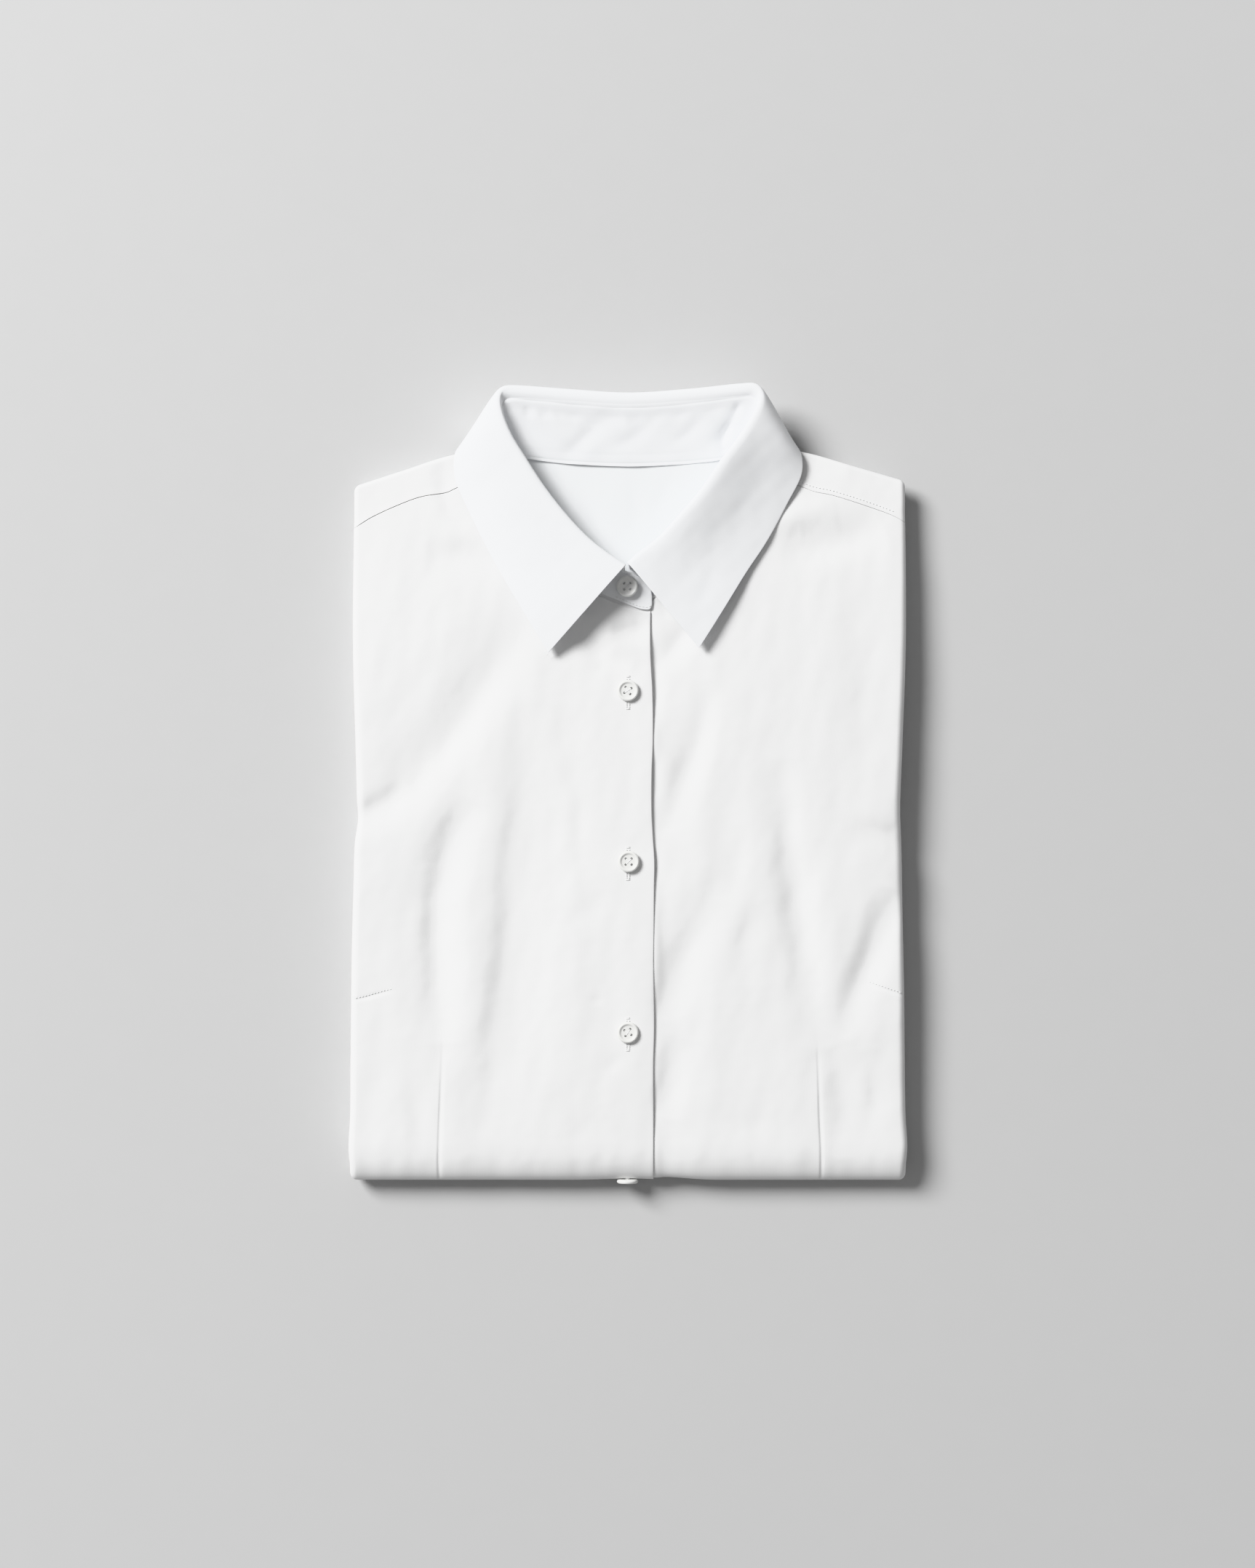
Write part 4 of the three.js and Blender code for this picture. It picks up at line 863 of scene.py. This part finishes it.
class ShirtStudio(bpy.types.PropertyGroup):
    """Light and camera."""

    key_power: number("Key", "Power of the large soft light", 510.0, min=0.0, unit="POWER")
    key_height: number("Key height", "Its angle above the floor", math.radians(40), subtype="ANGLE")
    key_turn: number("Key turn", "Its bearing round the shirt", math.radians(142), subtype="ANGLE")
    key_size: number("Key size", "Width of the light", 2.8, min=0.05, unit="LENGTH")
    fill: number("Fill", "Strength of the light from all round", 0.32, min=0.0)
    lens: number("Lens", "Focal length of the camera in mm", 85.0, min=20.0, max=200.0)
    camera_height: number("Camera height", "Camera above the floor", 1.98, min=0.5, unit="LENGTH")


# ------------------------------------------------------------------ pieces


class ShirtPiece:
    """What every operator of the shirt shares."""

    bl_options = {"REGISTER", "UNDO"}

    def execute(self, context):
        self.make(context, context.scene.shirt_sizes)
        return {"FINISHED"}

    def sewn_piece(self, context, name, mesh):
        piece_from(mesh, name, material(context, "sewing_thread"))

    def cloth_piece(self, context, name, nodes, slot, grids, thickness, flat, rests_on, edge_round=0.0,
                    finish="poplin_body", area=None):
        mesh = bmesh.new()
        for us, vs, point, flip in grids:
            add_grid(mesh, us, vs, point, flip)
        piece = piece_from(mesh, name, material(context, finish))
        thicken(piece, thickness, edge_round)
        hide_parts(*nodes)


class SHIRT_OT_fronts(ShirtPiece, bpy.types.Operator):
    """Lay the two fronts over the fold, the right one lapping over the left"""

    bl_idname = "shirt.fronts"
    bl_label = "Fronts"

    def make(self, context, sizes):
        # close together across the seams, the darts and the placket's folded edge
        vs = stations(
            (0, 0.02, 14), (0.02, 0.728, 182), (0.728, 0.757, 16), (0.757, 1, 60), (1, 2, 22), (2, 3, 44))
        right_us = stations(
            (-22, -1.42, 3), (-1.42, 0, 6), (0, 0.695, 70), (0.695, 0.74, 14), (0.74, 1, 25), (1, 2, 12))
        left_us = stations(
            (0, 0.165, 10), (0.165, 0.21, 11), (0.21, 0.72, 52), (0.72, 0.75, 10), (0.75, 1, 25), (1, 2, 12))
        self.cloth_piece(
            context, "front_right_cloth", ["front_right"], "poplin",
            [(right_us, vs, lambda u, v: front_point(u, v, PLACKET_EDGE, 1, RIGHT_FRONT_TOP, False), False)],
            sizes.cloth, (0.20, 0.68), ["core_layers"])
        self.cloth_piece(
            context, "front_left_cloth", ["front_left"], "poplin",
            [(left_us, vs, lambda u, v: front_point(u, v, UNDERLAP_EDGE, 2, LEFT_FRONT_TOP, True), True)],
            sizes.cloth, (0.18, 0.68), ["core_layers"])


class SHIRT_OT_yoke(ShirtPiece, bpy.types.Operator):
    """Lay the yoke: both shoulders and its inside behind the neck"""

    bl_idname = "shirt.yoke"
    bl_label = "Yoke"

    def make(self, context, sizes):
        us = stations((0, 1, 52), (1, 2, 12))
        vs = stations((0, 0.12, 5), (0.12, 1, 22), (1, 2, 14))
        for name, node, side, rows, flip in (
            ("yoke_right_cloth", "yoke_right", 1, RIGHT_FRONT_TOP, True),
            ("yoke_left_cloth", "yoke_left", 2, LEFT_FRONT_TOP, False),
        ):
            self.cloth_piece(context, name, [node], "poplin",
                             [(us, vs, lambda u, v, s=side, r=rows: yoke_point(u, v, s, r), flip)],
                             sizes.cloth, (0.07, 0.024), ["core_layers"])
        self.cloth_piece(context, "yoke_inner_cloth", ["yoke_inner"], "poplin_inside",
                         [(stations((-1, 1, 64)), stations((0, 1, 48)), yoke_inside_point, False)],
                         sizes.cloth, (0.126, 0.0755), ["core_layers"], finish="poplin_inside", area=0.0072)


class SHIRT_OT_collar(ShirtPiece, bpy.types.Operator):
    """Set the collar: the stand round the neck, and the leaf that rolls over it"""

    bl_idname = "shirt.collar"
    bl_label = "Collar"

    def make(self, context, sizes):
        along = stations((0, LAST_STAND, 264))
        across_stand = stations((0, 0.09, 9), (0.09, 0.88, 26), (0.88, 1, 10))
        self.cloth_piece(context, "collar_stand_cloth", ["collar_stand"], "poplin_collar",
                         [(along, across_stand, stand_point, True)],
                         sizes.stand, (0.39, 0.032), ["yoke_inner_cloth"],
                         edge_round=0.3, finish="poplin_collar")
        along = stations((0, LAST_SECTION, 240))
        across_leaf = stations((0, 1, 4), (1, 2, 6), (2, 3, 15), (3, 4, 15))
        self.cloth_piece(context, "collar_leaf_cloth", ["collar_leaf"], "poplin_collar",
                         [(along, across_leaf, leaf_point, True)],
                         sizes.leaf, (0.45, 0.056), ["collar_stand_cloth"],
                         edge_round=0.45, finish="poplin_collar", area=0.0205)


class SHIRT_OT_hidden_layers(ShirtPiece, bpy.types.Operator):
    """Lay in the back, sleeves and cuffs, which show as folded edges under the fronts"""

    bl_idname = "shirt.hidden_layers"
    bl_label = "Hidden layers"

    # level of the lower and the upper ply as shares of the thickness, inset, how deep in it runs
    FOLDS = (
        (0.05, 0.375, 1.5, 34), (0.392, 0.45, 3.0, 24), (0.46, 0.5, 5.0, 20), (0.508, 0.575, 3.8, 24),
    )

    # how deep the plies of the lower half lie inside the bottom fold
    NESTED = (3.0, 4.4, 5.8, 7.4)
    CORNER = 7.0
    LOWEST = -196

    def perimeter(self, at):
        """Up the right side, round the corner, along the shoulders and down the left side."""
        corner = self.CORNER
        right_top, left_top = shoulder_y(146.0) - corner, shoulder_y(-145.0) - corner
        x_right = float(read(SIDE_OUTLINE, 2, right_top)) - corner
        x_left = float(read(SIDE_OUTLINE, 1, left_top)) + corner
        turns = [(math.cos(a), math.sin(a)) for a in np.linspace(0, math.pi / 2, 9)[1:-1]]
        parts = [
            [(read(SIDE_OUTLINE, 2, y), y, -1, 0) for y in np.linspace(self.LOWEST, right_top, 90)],
            [(x_right + corner * c, right_top + corner * s, -c, -s) for c, s in turns],
            [(x, shoulder_y(x), 0, -1) for x in np.linspace(140, -138, 90)],
            [(x_left - corner * s, left_top + corner * c, s, -c) for c, s in turns],
            [(read(SIDE_OUTLINE, 1, y), y, 1, 0) for y in np.linspace(left_top, self.LOWEST, 90)],
        ]
        line = np.asarray([p for part in parts for p in part], float)
        return catmull(line, at * (len(line) - 1))

    def fold(self, low, high, inset, deep):
        """A ply folded over at the edge. v: 0 to 1 in along its lower half, to 2 round it, to 3 back."""
        def point(u, v):
            x, y, in_x, in_y = np.moveaxis(self.perimeter(u), -1, 0)
            thick = side_thickness(y)
            bottom, top = low * thick, high * thick
            radius = (top - bottom) / 2
            bend = passed(v, 1) * math.pi
            along = u * 1000
            wave = 0.9 * ripple(along, v * 0, 90, int(low * 1000)) + 0.25 * ripple(along, v * 0, 22, 5)
            inwards = deep * (np.clip(1 - v, 0, 1) + passed(v, 2))
            run = inset + wave + radius + inwards - radius * np.sin(bend)
            z = bottom + radius * (1 - np.cos(bend)) + 0.12 * ripple(along, v * 3, 60, 9)
            return x + in_x * run, y + in_y * run, np.maximum(z, 0.45)
        return stations((0, 1, 280)), stations((0, 1, 4), (1, 2, 10), (2, 3, 4)), point, True

    def nested(self, depth):
        """A ply of the lower half, wrapped inside the bottom fold."""
        def point(u, v):
            x = u * (141 - 0.4 * depth)
            return x, *folded(x, way_down(v, x, -150, 45), np.full(np.shape(x), depth))
        return stations((-1, 1, 60)), stations((0, 1, 6), (1, 2, 16), (2, 3, 5)), point, True

    def back(self, u, v):
        """The flat of the back, just over the floor."""
        return u * 132, mix(-150, 160, v), 0.75 + 0 * u

    def make(self, context, sizes):
        grids = [self.fold(*row) for row in self.FOLDS]
        grids += [self.nested(depth) for depth in self.NESTED]
        grids.append((stations((-1, 1, 40)), stations((0, 1, 44)), self.back, True))
        self.cloth_piece(context, "hidden_layers_cloth", ["core_layers"], "poplin_hidden", grids, sizes.cloth,
                         (0.70, 0.75), ["front_right_cloth", "front_left_cloth"], finish="poplin_inside")


BUTTON_SEAT = 0.35  # how deep the button on the bottom fold is pressed in
DISH = 0.64  # height of a button's dished floor as a share of its thickness


def button_places():
    """Name, centre of the back face, and turns in x, y and z of each button."""
    places = [("button_stand", (-0.4, 104.2, 23.3), (0.12, 0.03, 0))]
    for k, x in zip(range(FRONT_BUTTONS), (0, 0.4, 0)):
        y = TOP_BUTTON_Y - k * BUTTON_SPACING
        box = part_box(f"button_{k + 1}")
        places.append((f"button_{k + 1}", (x, y, box[0][2] / MM), (0, 0, 0.2 * (k - 1))))
    fold_y = float(bottom_outline(np.float64(0))) - BUTTON_SEAT
    fold_z = float(crown(np.float64(0), BOTTOM_Y)) / 2
    places.append(("button_4", (-0.2, fold_y, fold_z), (math.pi / 2, 0, 0)))
    return places


class SHIRT_OT_buttons(ShirtPiece, bpy.types.Operator):
    """Turn the five buttons, drill them and sew them on"""

    bl_idname = "shirt.buttons"
    bl_label = "Buttons"

    # the dished face: how far in from the rim, and how high as a share of the thickness
    FACE = (
        (0.02, 0.5), (0.08, 0.68), (0.3, 0.86), (0.62, 0.97), (0.95, 1), (1.25, 0.97), (1.55, 0.88),
        (1.85, 0.76), (2.2, 0.69), (2.7, 0.66),
    )

    def turned(self, sizes):
        """A dished button with a raised rim, still without its holes, its back on z = 0, in millimetres."""
        r, t = sizes.button_radius, sizes.button_thickness
        profile = [(0, 0), (r - 1.3, 0), (r - 0.7, 0.12), (r - 0.22, 0.5)]
        profile += [(r - inwards, share * t) for inwards, share in self.FACE] + [(0, DISH * t)]
        mesh = bmesh.new()
        verts = [mesh.verts.new((x, 0, z)) for x, z in profile]
        edges = [mesh.edges.new(pair) for pair in zip(verts, verts[1:])]
        bmesh.ops.spin(mesh, geom=verts + edges, cent=(0, 0, 0), axis=(0, 0, 1), angle=2 * math.pi,
                       steps=sizes.turned_sides, use_merge=True)
        bmesh.ops.remove_doubles(mesh, verts=mesh.verts, dist=1e-4)
        bmesh.ops.recalc_face_normals(mesh, faces=mesh.faces)
        return mesh

    def drills(self, sizes):
        """For each hole a drill that goes right through, and a short cone that widens its mouth."""
        mesh = bmesh.new()
        half = sizes.hole_spacing / 2
        mouth = DISH * sizes.button_thickness + 0.3
        for x in (-half, half):
            for y in (-half, half):
                for depth, z, low, high in ((6, 0, 1, 1), (1, mouth, 0.9, 1.6)):
                    bmesh.ops.create_cone(
                        mesh, cap_ends=True, segments=20, radius1=low * sizes.hole_radius,
                        radius2=high * sizes.hole_radius, depth=depth, matrix=Matrix.Translation((x, y, z)))
        return mesh

    def drilled(self, sizes):
        blank = new_object("button_blank", self.turned(sizes))
        drill = new_object("button_drill", self.drills(sizes))
        cut = blank.modifiers.new("Holes", "BOOLEAN")
        cut.object, cut.operation, cut.solver, cut.use_self = drill, "DIFFERENCE", "EXACT", True
        result = bpy.data.meshes.new_from_object(blank.evaluated_get(bpy.context.evaluated_depsgraph_get()))
        for gone in (blank, drill):
            data = gone.data
            bpy.data.objects.remove(gone)
            bpy.data.meshes.remove(data)
        return result

    def make(self, context, sizes):
        pattern = self.drilled(sizes)
        for name, centre, turn in button_places():
            place = Matrix.Translation(Vector(centre)) @ Matrix.Rotation(turn[2], 4, "Z") \
                @ Matrix.Rotation(turn[1], 4, "Y") @ Matrix.Rotation(turn[0], 4, "X")
            place = Matrix.Scale(MM, 4) @ place
            mesh = bmesh.new()
            mesh.from_mesh(pattern)
            bmesh.ops.transform(mesh, matrix=place, verts=mesh.verts)
            bmesh.ops.recalc_face_normals(mesh, faces=mesh.faces)
            piece = piece_from(mesh, f"{name}_resin", material(context, "resin_button"))
            piece.data.set_sharp_from_angle(angle=math.radians(40))
            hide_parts(name)
            self.sew_on(context, name, place, sizes)
        bpy.data.meshes.remove(pattern)

    def sew_on(self, context, name, place, sizes):
        """Crossed threads from hole to hole, and the shank under the button."""
        mesh = bmesh.new()
        half, top = sizes.hole_spacing / 2, DISH * sizes.button_thickness
        for way in (1, -1):
            for k in (-1, 0, 1):
                along = Vector((1, way, 0)).normalized()
                side = Vector((-way, 1, 0)).normalized()
                centre = side * (0.16 * k) + Vector((0, 0, top - 0.05 + 0.1 * (way > 0)))
                axes = side * 0.13, along.cross(side) * 0.2, along * half * 1.5
                turn = Matrix(axes).transposed().to_4x4()
                bmesh.ops.create_uvsphere(mesh, u_segments=8, v_segments=8, radius=1,
                                          matrix=place @ Matrix.Translation(centre) @ turn)
        bmesh.ops.create_cone(mesh, cap_ends=True, segments=16, radius1=1.5, radius2=1.3, depth=1.0,
                              matrix=place @ Matrix.Translation((0, 0, -0.4)))
        bmesh.ops.recalc_face_normals(mesh, faces=mesh.faces)
        self.sewn_piece(context, f"{name}_thread", mesh)


class SHIRT_OT_buttonholes(ShirtPiece, bpy.types.Operator):
    """Work the buttonholes down the placket"""

    bl_idname = "shirt.buttonholes"
    bl_label = "Buttonholes"

    def make(self, context, sizes):
        half, wide = sizes.buttonhole_length / 2, sizes.buttonhole_width
        bars = []
        for k in range(FRONT_BUTTONS):
            middle = TOP_BUTTON_Y - k * BUTTON_SPACING - 1.0
            for y in np.arange(-half + 1.2, half - 1.0, 0.7):
                bars += [(sign * wide * 0.27, middle + y, wide * 0.42) for sign in (-1, 1)]
            bars += [(0, middle + end * (half - 0.5 * step), wide) for end in (-1, 1) for step in range(2)]
        bars = np.asarray(bars)
        mesh = bmesh.new()
        for bar, centre, up in zip(bars, *surface(bars[:, 0], bars[:, 1], 0.15)):
            add_thread(mesh, centre, (1, 0, 0), up, bar[2], 0.3)
        self.sewn_piece(context, "buttonhole_stitches", mesh)


class SHIRT_OT_stitches(ShirtPiece, bpy.types.Operator):
    """Sew the visible rows of stitches along the seams and darts"""

    bl_idname = "shirt.stitches"
    bl_label = "Stitches"

    # plan lines of the stitches that close the bust darts, and their pitch
    BUST_ROWS = (
        ((127.4, -105.0), (136.6, -108.2), (145.0, -111.0)),
        ((-144.6, -113.9), (-139.3, -112.7), (-129.7, -110.0), (-125.0, -108.9)),
    )
    BUST_PITCH = 1.7

    def make(self, context, sizes):
        mesh = bmesh.new()
        first, last = (len(STAND_OVER_END) + section for section in (7.5, 16.5))
        add_row(mesh, on_stand(first, last, from_top=ROW_FROM_TOP), sizes)
        for row in ROWS_FROM_BOTTOM:
            add_row(mesh, on_stand(first, last, from_bottom=row), sizes)
        add_row(mesh, on_stand(0.6, 4.4, from_bottom=1.3, steps=40), sizes)
        seam = [(x, y + 2.3) for x, y in LEFT_FRONT_TOP if 88 < x < 148]
        add_row(mesh, on_top(seam, 0.3), sizes)
        for row in self.BUST_ROWS:
            add_row(mesh, on_top(row, 0.05), sizes, pitch=self.BUST_PITCH)
        # the short end of thread at the left point
        add_thread(mesh, (-42.4, 68.2, 24.0), (-0.6, -0.8, -0.2), (0, 0, 1), 2.4, sizes.thread_radius)
        self.sewn_piece(context, "seam_stitches", mesh)


KEY_DISTANCE = 6.0


class SHIRT_OT_stage(bpy.types.Operator):
    """Set the floor, the light and the camera"""

    bl_idname = "shirt.stage"
    bl_label = "Stage"

    def execute(self, context):
        studio = context.scene.shirt_studio
        mesh = bmesh.new()
        bmesh.ops.create_grid(mesh, x_segments=2, y_segments=2, size=4)
        floor = new_object("floor", mesh)
        floor.data.materials.append(material(context, "studio_paper"))
        self.add_key(context, studio)
        world = bpy.data.worlds.new("studio")
        world.use_nodes = True
        background = world.node_tree.nodes["Background"]
        background.inputs["Color"].default_value = (1, 1, 1, 1)
        background.inputs["Strength"].default_value = studio.fill
        context.scene.world = world
        context.scene.view_settings.view_transform = "Khronos PBR Neutral"
        lens = bpy.data.cameras.new("camera")
        lens.lens, lens.sensor_width, lens.sensor_fit = studio.lens, 36.0, "AUTO"
        lens.clip_start, lens.clip_end = 0.05, 50
        camera = bpy.data.objects.new("camera", lens)
        camera.location = (-0.0002, -0.0004, studio.camera_height)
        context.collection.objects.link(camera)
        context.scene.camera = camera
        return {"FINISHED"}

    def add_key(self, context, studio):
        """A large soft disc, aimed at the middle of the shirt."""
        lamp = bpy.data.lights.new("key", "AREA")
        lamp.energy, lamp.shape, lamp.size = studio.key_power, "DISK", studio.key_size
        light = bpy.data.objects.new("key", lamp)
        turn, height = studio.key_turn, studio.key_height
        way = Vector((math.cos(turn) * math.cos(height), math.sin(turn) * math.cos(height), math.sin(height)))
        light.location = way * KEY_DISTANCE
        light.rotation_euler = way.to_track_quat("Z", "Y").to_euler()
        context.collection.objects.link(light)


class SHIRT_PT_panel(bpy.types.Panel):
    """The shirt's pieces and settings"""

    bl_idname = "SHIRT_PT_panel"
    bl_label = "Folded shirt"
    bl_space_type = "VIEW_3D"
    bl_region_type = "UI"
    bl_category = "Shirt"

    def draw(self, context):
        for operator in OPERATORS:
            self.layout.operator(operator.bl_idname)
        for group in (context.scene.shirt_sizes, context.scene.shirt_colours, context.scene.shirt_studio):
            box = self.layout.box()
            for key in group.__annotations__:
                box.prop(group, key)


OPERATORS = (
    SHIRT_OT_stage, SHIRT_OT_fronts, SHIRT_OT_yoke, SHIRT_OT_collar, SHIRT_OT_hidden_layers,
    SHIRT_OT_buttons, SHIRT_OT_buttonholes, SHIRT_OT_stitches,
)
GROUPS = {"shirt_sizes": ShirtSizes, "shirt_colours": ShirtColours, "shirt_studio": ShirtStudio}


def register():
    for made in (*GROUPS.values(), *OPERATORS, SHIRT_PT_panel):
        bpy.utils.register_class(made)
    for name, group in GROUPS.items():
        setattr(bpy.types.Scene, name, PointerProperty(type=group))


def unregister():
    for name in GROUPS:
        delattr(bpy.types.Scene, name)
    for made in (SHIRT_PT_panel, *reversed(OPERATORS), *GROUPS.values()):
        bpy.utils.unregister_class(made)


def main():
    register()
    for operator in OPERATORS:
        group, name = operator.bl_idname.split(".")
        getattr(getattr(bpy.ops, group), name)()


if __name__ == "__main__":
    main()
